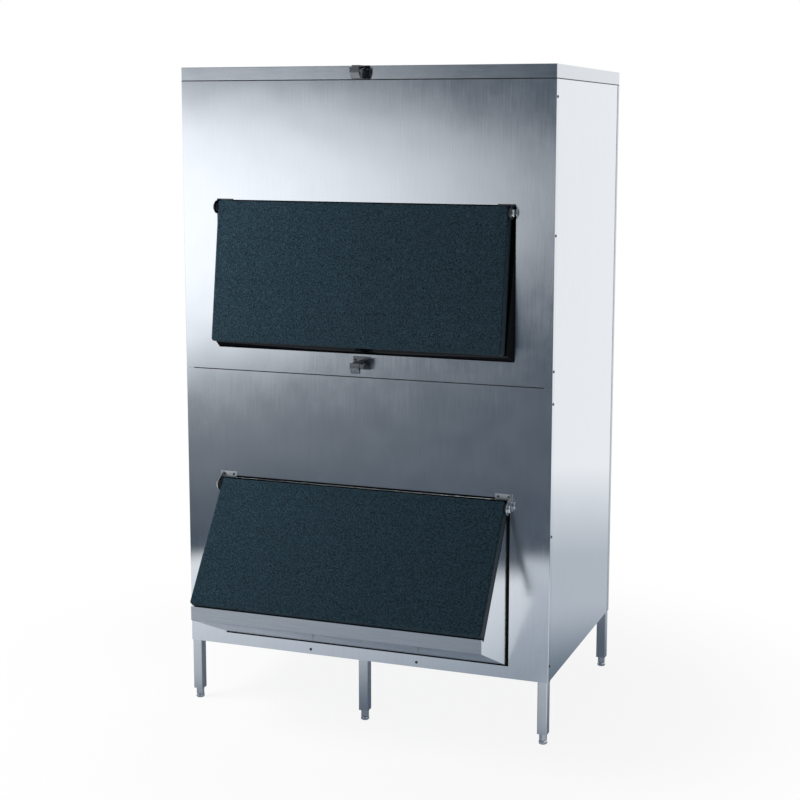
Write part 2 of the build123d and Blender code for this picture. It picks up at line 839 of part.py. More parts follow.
gate_front = liner_front + channel_wall + gate_slack
gate_half = lower_clear_half + gate_side_overlap


def gate_channels():
    """The two upright channels that the ice gate slides in."""
    x_low = lower_clear_half + channel_inset
    slot_high = gate_half + gate_slack
    slot_front = liner_front + channel_wall
    slot_back = slot_front + gate_thickness + 2 * gate_slack
    z_high = liner_floor + gate_height + gate_travel + channel_extra
    back = slot_back + channel_wall
    block = slab(x_low, slot_high + channel_wall, liner_front, back, liner_floor, z_high)
    slot = slab(x_low, slot_high, slot_front, slot_back, liner_floor, z_high)
    return group(both_sides(block - slot))


def ice_gate():
    """The plate that holds the ice back and slides up."""
    back = gate_front + gate_thickness
    return wide_slab(gate_half, gate_front, back, liner_floor, liner_floor + gate_height)


def gate_handle():
    """The pull bar on the gate."""
    z = liner_floor + handle_height
    y = gate_front - handle_reach + handle_radius
    handle = rod(handle_radius, -handle_length / 2, handle_length / 2, y, z)
    post_x = handle_length / 2 - handle_post_inset
    for side in both_sides(bar(handle_post_radius, post_x, y, gate_front, z)):
        handle += side
    return handle


def drain_hole(z_low, z_high):
    """The hole for the drain fitting."""
    return post(drain_radius + fit_gap, drain_x, drain_y, z_low, z_high)


def drain_fitting():
    """The flanged drain pipe through the floor, with a plain end for a hose below its thread."""
    flange_top = liner_floor + drain_flange_height
    spigot_low = drain_thread_low - drain_spigot_length
    pipe = post(drain_radius, drain_x, drain_y, drain_thread_low, flange_top)
    pipe += post(drain_spigot_radius, drain_x, drain_y, spigot_low, drain_thread_low)
    pipe += post(drain_flange_radius, drain_x, drain_y, liner_floor, flange_top)
    return pipe - post(drain_bore_radius, drain_x, drain_y, spigot_low, flange_top)


def drain_nut():
    """The nut that clamps the drain fitting from below."""
    outline = RegularPolygon(drain_nut_radius, 6)
    nut = extrude(Pos(drain_x, drain_y, rail_top - drain_nut_height) * outline, drain_nut_height)
    bore = post(drain_radius + running_gap, drain_x, drain_y, rail_top - drain_nut_height, rail_top)
    return nut - bore


def drain_strainer():
    """The perforated plate over the drain."""
    low = liner_floor + drain_flange_height
    high = low + strainer_height
    plate = post(strainer_radius, drain_x, drain_y, low, high)
    for turn in range(strainer_hole_count):
        angle = 2 * math.pi * turn / strainer_hole_count
        x = drain_x + strainer_hole_circle * math.cos(angle)
        y = drain_y + strainer_hole_circle * math.sin(angle)
        plate -= post(strainer_hole_radius, x, y, low, high)
    return plate


def square_tube(start, end):
    """A square steel tube between two points on one axis."""
    spans = [abs(high - low) for low, high in zip(start, end)]
    middle = [(low + high) / 2 for low, high in zip(start, end)]
    outer = [span or tube_size for span in spans]
    inner = [span or tube_size - 2 * tube_wall for span in spans]
    return Pos(*middle) * (Box(*outer) - Box(*inner))


def base_rails():
    """The seven rails of the stand, between the legs."""
    z = floor_clearance + tube_size / 2
    half = tube_size / 2
    rails = []
    for y in (leg_front_y, leg_back_y):
        rails += both_sides(square_tube((half, y, z), (leg_x - half, y, z)))
    for x in (-leg_x, 0, leg_x):
        rails.append(square_tube((x, leg_front_y + half, z), (x, leg_back_y - half, z)))
    holes = front_screw_holes()
    return group([cut(rail, holes) for rail in rails])


def legs(y):
    """Three tubes in a row, from the feet to the top of the rails."""
    return group([square_tube((x, y, tube_end_height), (x, y, rail_top)) for x in (-leg_x, 0, leg_x)])


def leg_inserts():
    """The six threaded plugs in the ends of the legs."""
    side = tube_size - 2 * tube_wall - 2 * running_gap
    middle = tube_end_height + insert_length / 2
    bore = foot_stem_radius + running_gap
    plug = Box(side, side, insert_length) - Cylinder(bore, insert_length)
    places = [(x, y) for x in (-leg_x, 0, leg_x) for y in (leg_front_y, leg_back_y)]
    return group([Pos(x, y, middle) * plug for x, y in places])


def foot(x, y):
    """A levelling foot: a rounded base, a six-sided neck and a stem up the leg."""
    base = post(foot_base_radius, x, y, 0, foot_base_height)
    base = fillet(base.edges().filter_by(GeomType.CIRCLE), foot_base_round)
    outline = Pos(x, y, foot_base_height) * RegularPolygon(foot_neck_radius, 6)
    neck = extrude(outline, tube_end_height - foot_base_height)
    stem = post(foot_stem_radius, x, y, tube_end_height, tube_end_height + foot_stem_length)
    return base + neck + stem


def feet():
    """The six feet by name."""
    named = {}
    for row, y in (("front", leg_front_y), ("rear", leg_back_y)):
        for column, x in (("left", -leg_x), ("middle", 0), ("right", leg_x)):
            named[f"{row}_{column}_foot"] = foot(x, y)
    return named


def all_nodes():
    """Every piece of the bin by name."""
    left_panel, right_panel = side_panel().mirror(Plane.YZ), side_panel()
    nodes = {
        "upper_front_panel": upper_front_panel(),
        "lower_front_panel": lower_front_panel(),
        "left_side_panel": left_panel,
        "right_side_panel": right_panel,
        "back_panel": back_panel(),
        "bottom_panel": bottom_panel(),
        "side_foam": side_foam(),
        "back_foam": back_foam(),
        "floor_foam": floor_foam(),
        "front_foam": front_foam(),
        "inner_liner": inner_liner(),
        "lid_gasket": lid_gasket(),
        "seam_seal": seam_seal(),
        "top_cover": top_cover(),
        "top_liner": top_liner(),
        "top_foam": top_foam(),
        "drop_collar": drop_collar(),
        "upper_door_frame": upper_door_frame(),
        "lower_door_frame": lower_door_frame(),
        "hopper_shell": hopper_shell(),
        "hopper_wings": hopper_wings(),
        "hopper_header": hopper_header(),
        "hopper_trough": hopper_trough(),
        "hopper_foam": hopper_foam(),
        "hinge_brackets": hinge_brackets(),
        "hinge_bushings": hinge_bushings(),
        "hinge_screws": hinge_screws(),
        "catch_plates": catch_plates(),
        "catch_pins": catch_pins(),
        "catch_springs": catch_springs(),
        "catch_rivets": catch_rivets(),
        "panel_screws": panel_screws(),
        "gate_channels": gate_channels(),
        "ice_gate": ice_gate(),
        "gate_handle": gate_handle(),
        "drain_fitting": drain_fitting(),
        "drain_nut": drain_nut(),
        "drain_strainer": drain_strainer(),
        "base_rails": base_rails(),
        "front_legs": legs(leg_front_y),
        "rear_legs": legs(leg_back_y),
        "leg_inserts": leg_inserts(),
        "upper_catch_hook": upper_catch.hook(),
        "lower_catch_hook": lower_catch.hook(),
    }
    for name, door in (("upper", upper_door), ("lower", lower_door)):
        nodes[f"{name}_door_shell"] = door.shell()
        nodes[f"{name}_door_liner"] = door.liner()
        nodes[f"{name}_door_core"] = door.core()
        nodes[f"{name}_door_gasket"] = door.gasket()
        nodes[f"{name}_hinge_bolts"] = door.bolts()
    return nodes | feet()


nodes = all_nodes()
spans = [shape.bounding_box() for shape in nodes.values()]
middle_y = (min(span.min.Y for span in spans) + max(span.max.Y for span in spans)) / 2
os.makedirs("parts", exist_ok=True)
for name, shape in nodes.items():
    export_step(Pos(0, -middle_y, 0) * shape, f"parts/{name}.step")
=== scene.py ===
"""Dresses the packed ice storage bin: finishes, fine hardware, studio and camera."""

import logging
import math
from dataclasses import dataclass
from enum import Enum
from typing import Callable, Iterable, Sequence

import bmesh
import bpy
from bmesh.types import BMEdge, BMesh, BMVert
from mathutils import Matrix, Vector


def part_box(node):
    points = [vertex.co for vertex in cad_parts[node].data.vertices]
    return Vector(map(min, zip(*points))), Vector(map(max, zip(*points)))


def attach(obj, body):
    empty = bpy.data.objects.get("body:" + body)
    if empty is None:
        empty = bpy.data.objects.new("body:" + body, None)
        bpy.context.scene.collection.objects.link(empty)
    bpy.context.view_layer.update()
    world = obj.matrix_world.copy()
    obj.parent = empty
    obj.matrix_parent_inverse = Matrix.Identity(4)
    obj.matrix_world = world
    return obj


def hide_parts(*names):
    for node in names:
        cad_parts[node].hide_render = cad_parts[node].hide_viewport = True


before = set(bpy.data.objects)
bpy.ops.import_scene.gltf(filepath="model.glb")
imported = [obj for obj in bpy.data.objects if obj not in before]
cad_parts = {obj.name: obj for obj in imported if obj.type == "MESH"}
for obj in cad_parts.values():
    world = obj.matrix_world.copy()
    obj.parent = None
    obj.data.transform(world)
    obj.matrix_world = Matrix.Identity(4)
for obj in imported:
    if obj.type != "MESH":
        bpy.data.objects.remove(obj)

log = logging.getLogger("ice_bin")

Node = bpy.types.Node
Socket = bpy.types.NodeSocket
Pair = tuple[float, float]
Place = tuple[float, float, float]
Colour = tuple[float, float, float, float]  # linear, with alpha
Fade = tuple[float, float, float, float]  # from, to, level at from, level at to
Outline = Sequence[Pair]  # radii and heights
EdgeTest = Callable[[BMEdge], bool]

MM = 0.001
WELD = 0.01 * MM  # points closer together than this are one
FLAT_TURN = math.radians(0.2)  # faces that turn less than this lie in one plane
SHEET_TURN = 50.0  # degrees; on rounded sheets, edges that turn more stay sharp
NOISE_SPAN = (0.3, 0.7)  # where most of a noise lies
GRAIN_LEAN = (0.01, 0.03, 0.02)  # gives faces square to the grain a direction too
WHITE = (1, 1, 1, 1)
RIGHT = Vector((1, 0, 0))
OUT = Vector((0, -1, 0))
UP = Vector((0, 0, 1))
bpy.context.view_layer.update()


class Axis(Enum):
    """A direction of the frame that a sheet's grain can take."""

    X = (1.0, 0.0, 0.0)
    Z = (0.0, 0.0, 1.0)


class Graph:
    """A node tree with short calls for making and joining its nodes."""

    def __init__(self, tree: bpy.types.NodeTree) -> None:
        """Takes the node tree of a material or of the world, and empties it."""
        self.tree = tree
        self.tree.nodes.clear()

    def node(self, kind: str, inputs: dict | None = None, **settings: object) -> Node:
        """Adds one node.

        Args:
            kind: Blender's identifier of the node, such as ShaderNodeMath.
            inputs: Socket name or number to a value, or to the output socket that feeds it.
            settings: Attributes of the node.

        Returns:
            The new node.
        """
        made = self.tree.nodes.new(kind)
        for key, value in settings.items():
            setattr(made, key, value)
        for key, value in (inputs or {}).items():
            if isinstance(value, Socket):
                self.tree.links.new(value, made.inputs[key])
            else:
                made.inputs[key].default_value = value
        return made

    def math(self, operation: str, *values: object) -> Socket:
        """The result of one arithmetic step, such as ADD, with numbers or sockets in order."""
        return self.node("ShaderNodeMath", dict(enumerate(values)), operation=operation).outputs[0]

    def vector(self, operation: str, *values: object) -> Node:
        """The node of one step with vectors: its first output is a vector, its second a number."""
        return self.node("ShaderNodeVectorMath", dict(enumerate(values)), operation=operation)

    def weigh(self, first: object, second: object, share: float) -> Socket:
        """The mean of two numbers or sockets, weighted by the share (0 to 1) of the first."""
        return self.math("ADD", self.math("MULTIPLY", first, share), self.math("MULTIPLY", second, 1 - share))

    def ramp(self, value: object, low: float, high: float, start: float, end: float,
             smooth: bool = False) -> Socket:
        """Maps a value from one range to another, held at the ends.

        Args:
            value: The socket that is mapped.
            low: Value that becomes start.
            high: Value that becomes end.
            start: Result at low.
            end: Result at high.
            smooth: Whether the ends are eased.

        Returns:
            The result's socket.
        """
        inputs = {"Value": value, "From Min": low, "From Max": high, "To Min": start, "To Max": end}
        kind = "SMOOTHSTEP" if smooth else "LINEAR"
        return self.node("ShaderNodeMapRange", inputs, interpolation_type=kind).outputs["Result"]

    def blend(self, share: object, first: object, second: object) -> Socket:
        """A mix of two colours or sockets, with the share (0 to 1) of the second."""
        return self.node("ShaderNodeMix", {0: share, 6: first, 7: second}, data_type="RGBA").outputs[2]

    def object_place(self, scale: Sequence[float] = (1, 1, 1)) -> Socket:
        """The place on the piece in its own metres, times a scale along each axis."""
        place = self.node("ShaderNodeTexCoord").outputs["Object"]
        return self.node("ShaderNodeMapping", {"Vector": place, "Scale": scale}).outputs[0]

    def noise(self, place: object, scale: float, detail: float = 2.0, roughness: float = 0.5) -> Socket:
        """Cloudy noise from 0 to 1: clouds per metre, octaves, and the strength of the fine ones."""
        inputs = {"Vector": place, "Scale": scale, "Detail": detail, "Roughness": roughness}
        return self.node("ShaderNodeTexNoise", inputs).outputs[0]

    def relief(self, height: Socket, strength: float, distance: float, normal: Socket | None = None) -> Socket:
        """A bump.

        Args:
            height: The socket of the height, from 0 to 1.
            strength: How much of it shows.
            distance: Height in metres at 1.
            normal: Another bump that this one is laid over.

        Returns:
            The normal's socket.
        """
        inputs = {"Strength": strength, "Distance": distance, "Height": height}
        if normal is not None:
            inputs["Normal"] = normal
        return self.node("ShaderNodeBump", inputs).outputs[0]


def linear(red: int, green: int, blue: int) -> Colour:
    """The linear colour, with an alpha of 1, of one given from 0 to 255 as it shows on a screen."""
    shares = [c / 255 for c in (red, green, blue)]
    return (*[s / 12.92 if s <= 0.04045 else ((s + 0.055) / 1.055) ** 2.4 for s in shares], 1.0)


def grey(level: float) -> Colour:
    """An even linear grey, with an alpha of 1."""
    return (level, level, level, 1.0)


@dataclass(frozen=True)
class Finish:
    """What every finish has: a name and a colour as it shows on a screen."""

    name: str
    colour: tuple[int, int, int]

    def tint(self, factor: float) -> Colour:
        """The linear colour times a factor, which makes it darker or lighter."""
        return (*[min(1.0, c * factor) for c in linear(*self.colour)[:3]], 1.0)

    def material(self) -> bpy.types.Material:
        """The finish's material, made the first time it is asked for."""
        title = f"{self.name}_finish"
        made = bpy.data.materials.get(title)
        if made is None:
            made = bpy.data.materials.new(title)
            made.use_nodes = True
            made.diffuse_color = linear(*self.colour)
            graph = Graph(made.node_tree)
            surface = graph.node("ShaderNodeBsdfPrincipled", self.surface(graph)).outputs[0]
            graph.node("ShaderNodeOutputMaterial", {"Surface": surface})
        return made

    def surface(self, graph: Graph) -> dict:
        """The surface shader's inputs; each kind of finish has its own."""
        raise NotImplementedError


@dataclass(frozen=True)
class BrushedSteel(Finish):
    """Stainless sheet with a fine one-way grain, never quite flat and faintly soiled."""

    grain: Axis = Axis.Z
    roughness: float = 0.11
    anisotropy: float = 0.9
    grain_width: float = 2.4 * MM
    grain_length: float = 160 * MM
    grain_depth: float = 0.1 * MM
    grain_relief: float = 0.01
    long_grain: float = 0.6
    grain_span: Pair = (0.32, 0.68)
    streak: float = 0.04
    streak_gloss: float = 0.02
    wave_scale: float = 2.2
    wave_depth: float = 60 * MM
    waviness: float = 0.02
    smudge_scale: float = 11.0
    smudge_shade: Pair = (0.985, 1.01)
    smudge_gloss: Fade = (0.35, 0.7, -0.01, 0.02)

    def surface(self, graph: Graph) -> dict:
        """Streaks along the grain in colour, gloss and relief, over slow waves and smudges."""
        along = Vector(self.grain.value)
        across = Vector((1, 1, 1)) - along
        stretch = across / self.grain_width + along / self.grain_length
        streaks = graph.noise(graph.object_place(stretch), 1.0, 3.0, 0.6)
        hairs = graph.noise(graph.object_place(stretch * 2), 1.0, 2.0, 0.6)
        waves = graph.noise(graph.object_place(), self.wave_scale)
        smudges = graph.noise(graph.object_place(), self.smudge_scale, 3.0, 0.6)
        grain = graph.weigh(streaks, hairs, self.long_grain)
        light = graph.ramp(grain, *self.grain_span, 1 - self.streak, 1 + self.streak)
        soiled = graph.math("MULTIPLY", light, graph.ramp(smudges, *NOISE_SPAN, *self.smudge_shade))
        colour = graph.vector("SCALE", self.tint(1.0)[:3])
        graph.tree.links.new(soiled, colour.inputs["Scale"])
        gloss = graph.ramp(grain, *NOISE_SPAN, self.roughness - self.streak_gloss,
                           self.roughness + self.streak_gloss)
        brushed = graph.relief(grain, self.grain_relief, self.grain_depth)
        normal = graph.node("ShaderNodeNewGeometry").outputs["Normal"]
        crossing = graph.vector("CROSS_PRODUCT", normal, tuple(along + Vector(GRAIN_LEAN)))
        return {
            "Base Color": colour.outputs[0], "Metallic": 1.0,
            "Roughness": graph.math("ADD", gloss, graph.ramp(smudges, *self.smudge_gloss)),
            "Anisotropic": self.anisotropy,
            "Tangent": graph.vector("NORMALIZE", crossing.outputs[0]).outputs[0],
            "Normal": graph.relief(waves, self.waviness, self.wave_depth, brushed),
        }


@dataclass(frozen=True)
class BrightSteel(Finish):
    """Small steel hardware with a tumbled, slightly worn shine."""

    roughness: float = 0.25
    speck_scale: float = 700.0
    patch_scale: float = 87.5
    depth: float = 0.1 * MM
    relief: float = 0.05
    fresh: float = 1.05
    worn: float = 0.8
    patch_gloss: Pair = (-0.03, 0.05)

    def surface(self, graph: Graph) -> dict:
        """Fine specks and a few duller patches."""
        specks = graph.noise(graph.object_place(), self.speck_scale, 3.0, 0.6)
        patches = graph.noise(graph.object_place(), self.patch_scale)
        colour = graph.blend(graph.ramp(patches, 0.35, 0.7, 0, 1), self.tint(self.fresh), self.tint(self.worn))
        gloss = graph.ramp(patches, *NOISE_SPAN, *[self.roughness + step for step in self.patch_gloss])
        return {"Base Color": colour, "Metallic": 1.0, "Roughness": gloss,
                "Normal": graph.relief(specks, self.relief, self.depth)}


@dataclass(frozen=True)
class PebbledPlastic(Finish):
    """Thick moulded polyethylene with a pebbled skin."""

    pebble: float = 4.0 * MM
    fineness: float = 3.1
    coarse_share: float = 0.7
    depth: float = 0.5 * MM
    relief: float = 0.7
    tops: Fade = (0.38, 0.66, 0, 1)
    roughness: float = 0.55
    top_gloss: Pair = (0.08, -0.06)
    # How far the painted highlight on the grain tops and the painted shade in the hollows move the colour.
    painted_grain_light: float = 0.8
    cloud_scale: float = 9.0
    cloud_share: float = 0.25
    cloud_shade: float = 0.8
    specular: float = 0.15

    def surface(self, graph: Graph) -> dict:
        """Rounded grains with a painted highlight on their tops and painted shade in their hollows, over slow
        random changes of tone.
        """
        place = graph.object_place()
        coarse = graph.noise(place, 1 / self.pebble, 2.0, 0.55)
        fine = graph.noise(place, self.fineness / self.pebble, 2.0, 0.6)
        height = graph.weigh(coarse, fine, self.coarse_share)
        tops = graph.ramp(height, *self.tops)
        clouds = graph.ramp(graph.noise(place, self.cloud_scale, 3.0), *NOISE_SPAN, 0, self.cloud_share)
        # Painted light: the colour follows the grains' height, lighter on the tops and darker in the hollows.
        grains = graph.blend(tops, self.tint(1 - self.painted_grain_light), self.tint(1 + self.painted_grain_light))
        return {
            "Base Color": graph.blend(clouds, grains, self.tint(self.cloud_shade)),
            "Roughness": graph.ramp(tops, 0, 1, *[self.roughness + step for step in self.top_gloss]),
            "Normal": graph.relief(height, self.relief, self.depth),
            "Specular IOR Level": self.specular,
        }


@dataclass(frozen=True)
class MouldedPlastic(Finish):
    """Smooth moulded plastic with a faint orange-peel skin."""

    roughness: float = 0.3
    peel_scale: float = 140.0
    depth: float = 0.1 * MM
    relief: float = 0.2
    flow_scale: float = 14.0
    flow_shade: Pair = (0.92, 1.06)
    flow_gloss: Pair = (-0.04, 0.06)
    coat: float = 0.0
    coat_roughness: float = 0.08
    specular: float = 0.5

    def surface(self, graph: Graph) -> dict:
        """A soft skin, faint flow marks and rubbed patches."""
        place = graph.object_place()
        flow = graph.noise(place, self.flow_scale, 3.0, 0.6)
        shades = [self.tint(shade) for shade in self.flow_shade]
        peel = graph.noise(place, self.peel_scale)
        return {
            "Base Color": graph.blend(graph.ramp(flow, *NOISE_SPAN, 0, 1), *shades),
            "Roughness": graph.ramp(flow, *NOISE_SPAN, *[self.roughness + step for step in self.flow_gloss]),
            "Normal": graph.relief(peel, self.relief, self.depth),
            "Coat Weight": self.coat, "Coat Roughness": self.coat_roughness,
            "Specular IOR Level": self.specular,
        }


@dataclass(frozen=True)
class Foam(Finish):
    """Rigid insulating foam: a skin full of small cells."""

    cell: float = 2.5 * MM
    hollow: Fade = (0.1, 0.7, 0, 1)
    # Colour factor of the painted shade in the cell hollows.
    painted_hollow_shade: float = 0.78
    depth: float = 0.5 * MM
    relief: float = 0.5
    roughness: float = 0.9

    def surface(self, graph: Graph) -> dict:
        """Cells of uneven size with painted shade darkening their hollows."""
        inputs = {"Vector": graph.object_place(), "Scale": 1 / self.cell}
        cells = graph.node("ShaderNodeTexVoronoi", inputs).outputs["Distance"]
        # Painted shade: the cells' sunken middles are darker.
        shade = graph.blend(graph.ramp(cells, *self.hollow), self.tint(self.painted_hollow_shade), self.tint(1.0))
        return {"Base Color": shade, "Roughness": self.roughness,
                "Normal": graph.relief(cells, self.relief, self.depth)}


FRONT_STEEL = BrushedSteel("front_steel", (217, 222, 229))
# Same stainless as the front with its grain across; its darker colour is painted shade.
SHADED_LID_STEEL = BrushedSteel("shaded_lid_steel", (206, 212, 219), grain=Axis.X)
SIDE_STEEL = BrushedSteel("side_steel", (223, 228, 235))
BACK_STEEL = BrushedSteel("back_steel", (200, 204, 208), roughness=0.4, anisotropy=0.4)
HOPPER_STEEL = BrushedSteel("hopper_steel", (218, 222, 226))
# Same stainless as the hopper with its grain across; its darker colour is painted shade.
SHADED_LIP_STEEL = BrushedSteel("shaded_lip_steel", (158, 165, 174), grain=Axis.X, streak=0.09)
STAND_STEEL = BrushedSteel("stand_steel", (214, 218, 223), roughness=0.32, grain_length=60 * MM)
FOOT_STEEL = BrightSteel("foot_steel", (238, 240, 243), roughness=0.3)
BRACKET_STEEL = BrightSteel("bracket_steel", (204, 208, 212), roughness=0.28)
UPPER_HINGE_STEEL = BrightSteel("upper_hinge_steel", (96, 100, 105), roughness=0.3)
CATCH_STEEL = BrightSteel("catch_steel", (136, 140, 145), roughness=0.12)
FASTENER_STEEL = BrightSteel("fastener_steel", (228, 231, 234), roughness=0.2)
SCREW_STEEL = BrightSteel("screw_steel", (78, 82, 86), roughness=0.35)
DOOR_PLASTIC = PebbledPlastic("door_plastic", (36, 54, 64))
DOOR_LINER_PLASTIC = MouldedPlastic("door_liner_plastic", (52, 58, 62), roughness=0.35)
FRAME_PLASTIC = MouldedPlastic("frame_plastic", (9, 10, 12), roughness=0.5, coat=0.12, specular=0.0)
BUSHING_PLASTIC = MouldedPlastic("bushing_plastic", (34, 36, 38), roughness=0.35)
LINER_PLASTIC = MouldedPlastic("liner_plastic", (226, 229, 230), roughness=0.4)
GATE_PLASTIC = MouldedPlastic("gate_plastic", (206, 214, 219), roughness=0.35)
DRAIN_PLASTIC = MouldedPlastic("drain_plastic", (62, 64, 66), roughness=0.4)
INSULATING_FOAM = Foam("insulating_foam", (232, 216, 164))
SEAL_RUBBER = MouldedPlastic("seal_rubber", (14, 15, 16), roughness=0.55, peel_scale=400.0)


def dress(finish: Finish, *names: str) -> None:
    """Gives CAD nodes a finish in every one of their material slots.

    Args:
        finish: The finish.
        names: The nodes.
    """
    for name in names:
        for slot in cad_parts[name].material_slots:
            slot.material = finish.material()
        log.info("dressed %s", name)


def merged_copy(node: str, flat: bool = True) -> BMesh:
    """A copy of a CAD node's mesh with its doubles merged.

    Args:
        node: Name of the node.
        flat: Whether triangles in one plane become one face; not for a ring round an opening.

    Returns:
        The shape, in the frame's metres.
    """
    shape = bmesh.new()
    shape.from_mesh(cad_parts[node].data)
    bmesh.ops.remove_doubles(shape, verts=shape.verts[:], dist=WELD)
    if flat:
        bmesh.ops.dissolve_limit(shape, angle_limit=FLAT_TURN, verts=shape.verts[:], edges=shape.edges[:])
    return shape


def round_edges(shape: BMesh, width: float, where: EdgeTest | None = None,
                segments: int = 2, turn: float = 40.0) -> None:
    """Rounds the edges where two faces meet at an angle.

    Args:
        shape: The shape.
        width: How far the rounding reaches from the edge.
        where: Says of an edge whether it is rounded; every edge is if it is left out.
        segments: Steps of the rounding.
        turn: Least angle between the faces, in degrees.
    """
    least = math.radians(turn)
    edges = [e for e in shape.edges
             if len(e.link_faces) == 2 and e.calc_face_angle() > least and (where is None or where(e))]
    bmesh.ops.bevel(shape, geom=edges, offset=width, offset_type="OFFSET", affect="EDGES",
                    segments=segments, profile=0.5, material=-1, clamp_overlap=True)


def islands(shape: BMesh) -> list[list[BMVert]]:
    """The vertices of each separate solid of a shape.

    Args:
        shape: The shape.

    Returns:
        One list of vertices for each solid.
    """
    left = set(shape.verts)
    found = []
    while left:
        reached = [left.pop()]
        for vert in reached:
            near = {edge.other_vert(vert) for edge in vert.link_edges} & left
            left -= near
            reached.extend(near)
        found.append(reached)
    return found


def solid_boxes(node: str) -> list[tuple[Vector, Vector]]:
    """The lowest and highest corners of each separate solid of a CAD node, in a steady order.

    Args:
        node: Name of the node.

    Returns:
        One pair of corners for each solid.
    """
    shape = merged_copy(node)
    boxes = []
    for verts in islands(shape):
        spans = [[vert.co[i] for vert in verts] for i in range(3)]
        boxes.append((Vector([min(span) for span in spans]), Vector([max(span) for span in spans])))
    shape.free()
    return sorted(boxes, key=lambda pair: tuple(round(c, 4) for c in pair[0]))


def quarter(steps: int) -> list[float]:
    """Angles from 0 to 90 degrees in equal steps, in radians."""
    return [math.radians(90 * step / steps) for step in range(steps + 1)]


# Heads of fasteners from the middle out, as shares of the head's radius and height.
PAN_HEAD = ((0, 0.45), (0.35, 0.5), (0.5, 0.93), (0.66, 0.88), (0.84, 0.72), (0.96, 0.45), (1, 0.2), (1, 0))
CROSS_RINGS, CROSS_DEPTH = (0.5, 0.35), 0.62
DOME_HEAD = (*[(math.sin(a), 0.15 + 0.85 * math.cos(a)) for a in quarter(6)], (1, 0))
SOCKET_HEAD = (
    (0, 0.35), (0.44, 0.35), (0.44044, 0.97), (0.4928, 1),
    *[(0.76 + 0.24 * math.sin(a), 0.55 + 0.45 * math.cos(a)) for a in quarter(5)], (1, 0.06), (0.97, 0),
)
SOCKET_RING, SOCKET_DEPTH = 0.44, 0.134


def face_outward(shape: BMesh) -> None:
    """Makes the faces of one closed solid point outward, also where a thread misleads the operator.

    Args:
        shape: The solid.
    """
    bmesh.ops.recalc_face_normals(shape, faces=shape.faces[:])
    if shape.calc_volume(signed=True) < 0:
        bmesh.ops.reverse_faces(shape, faces=shape.faces[:])


def turned(profile: Outline, steps: int = 32) -> BMesh:
    """A solid turned round Z.

    Args:
        profile: Points as (radius, height), from the axis or an inner wall round to where they close.
        steps: Sides of the circle.

    Returns:
        The shape, round the origin.
    """
    shape = bmesh.new()
    verts = [shape.verts.new((radius, 0, height)) for radius, height in profile]
    edges = [shape.edges.new(pair) for pair in zip(verts, verts[1:])]
    if profile[0][0] > 0:
        edges.append(shape.edges.new((verts[-1], verts[0])))
    bmesh.ops.spin(shape, geom=verts + edges, cent=(0, 0, 0), axis=UP, dvec=(0, 0, 0),
                   angle=2 * math.pi, steps=steps, use_merge=True, use_duplicate=False)
    bmesh.ops.remove_doubles(shape, verts=shape.verts[:], dist=WELD / 10)
    face_outward(shape)
    return shape


def keyed(shape: BMesh, radius: float, sides: int, depth: float) -> None:
    """Draws the turned rings of one radius in between its corners, which makes a keyed recess.

    Args:
        shape: A turned shape.
        radius: Radius of the rings.
        sides: Corners of the recess.
        depth: How far the rings come in between two corners, as a share of the radius.
    """
    for vert in shape.verts:
        if abs(vert.co.xy.length - radius) < WELD:
            angle = math.atan2(vert.co.y, vert.co.x) * sides / 2
            vert.co.xy = vert.co.xy * (1 - depth * abs(math.sin(angle)))


def aimed(shape: BMesh, direction: Vector, place: Vector) -> BMesh:
    """Turns a shape made along Z to a direction, and moves it to its place.

    Args:
        shape: The shape.
        direction: Where its +Z goes.
        place: Where its origin goes.

    Returns:
        The same shape.
    """
    turn = direction.to_track_quat("Z", "Y").to_matrix().to_4x4()
    bmesh.ops.transform(shape, matrix=Matrix.Translation(place) @ turn, verts=shape.verts[:])
    return shape


def joined(shapes: Iterable[BMesh]) -> BMesh:
    """Puts several shapes in one.

    Args:
        shapes: The shapes, which are freed.

    Returns:
        One shape with all of them.
    """
    whole = bmesh.new()
    for shape in shapes:
        scratch = bpy.data.meshes.new("scratch")
        shape.to_mesh(scratch)
        shape.free()
        whole.from_mesh(scratch)
        bpy.data.meshes.remove(scratch)
    return whole


def coil(radius: float, wire: float, turns: int, length: float, steps: int = 20) -> BMesh:
    """A coil spring round Z.

    Args:
        radius: Radius of the wire's middle line.
        wire: Radius of the wire.
        turns: Number of turns.
        length: Distance between the ends, at the wire's middle.
        steps: Steps in one turn.

    Returns:
        The shape, from height 0.
    """
    shape = bmesh.new()
    ring = bmesh.ops.create_circle(shape, cap_ends=False, radius=wire, segments=8)["verts"]
    upright = Matrix.Translation((radius, 0, 0)) @ Matrix.Rotation(math.pi / 2, 4, "X")
    bmesh.ops.transform(shape, matrix=upright, verts=ring)
    bmesh.ops.spin(shape, geom=ring + shape.edges[:], cent=(0, 0, 0), axis=UP,
                   dvec=(0, 0, length / (turns * steps)), angle=2 * math.pi * turns,
                   steps=turns * steps, use_merge=False, use_duplicate=False)
    bmesh.ops.holes_fill(shape, edges=[e for e in shape.edges if e.is_boundary], sides=0)
    face_outward(shape)
    return shape


def added(name: str, data: bpy.types.ID) -> bpy.types.Object:
    """Adds an object to the scene, made of a mesh, a lamp or a camera."""
    made = bpy.data.objects.new(name, data)
    bpy.context.scene.collection.objects.link(made)
    return made


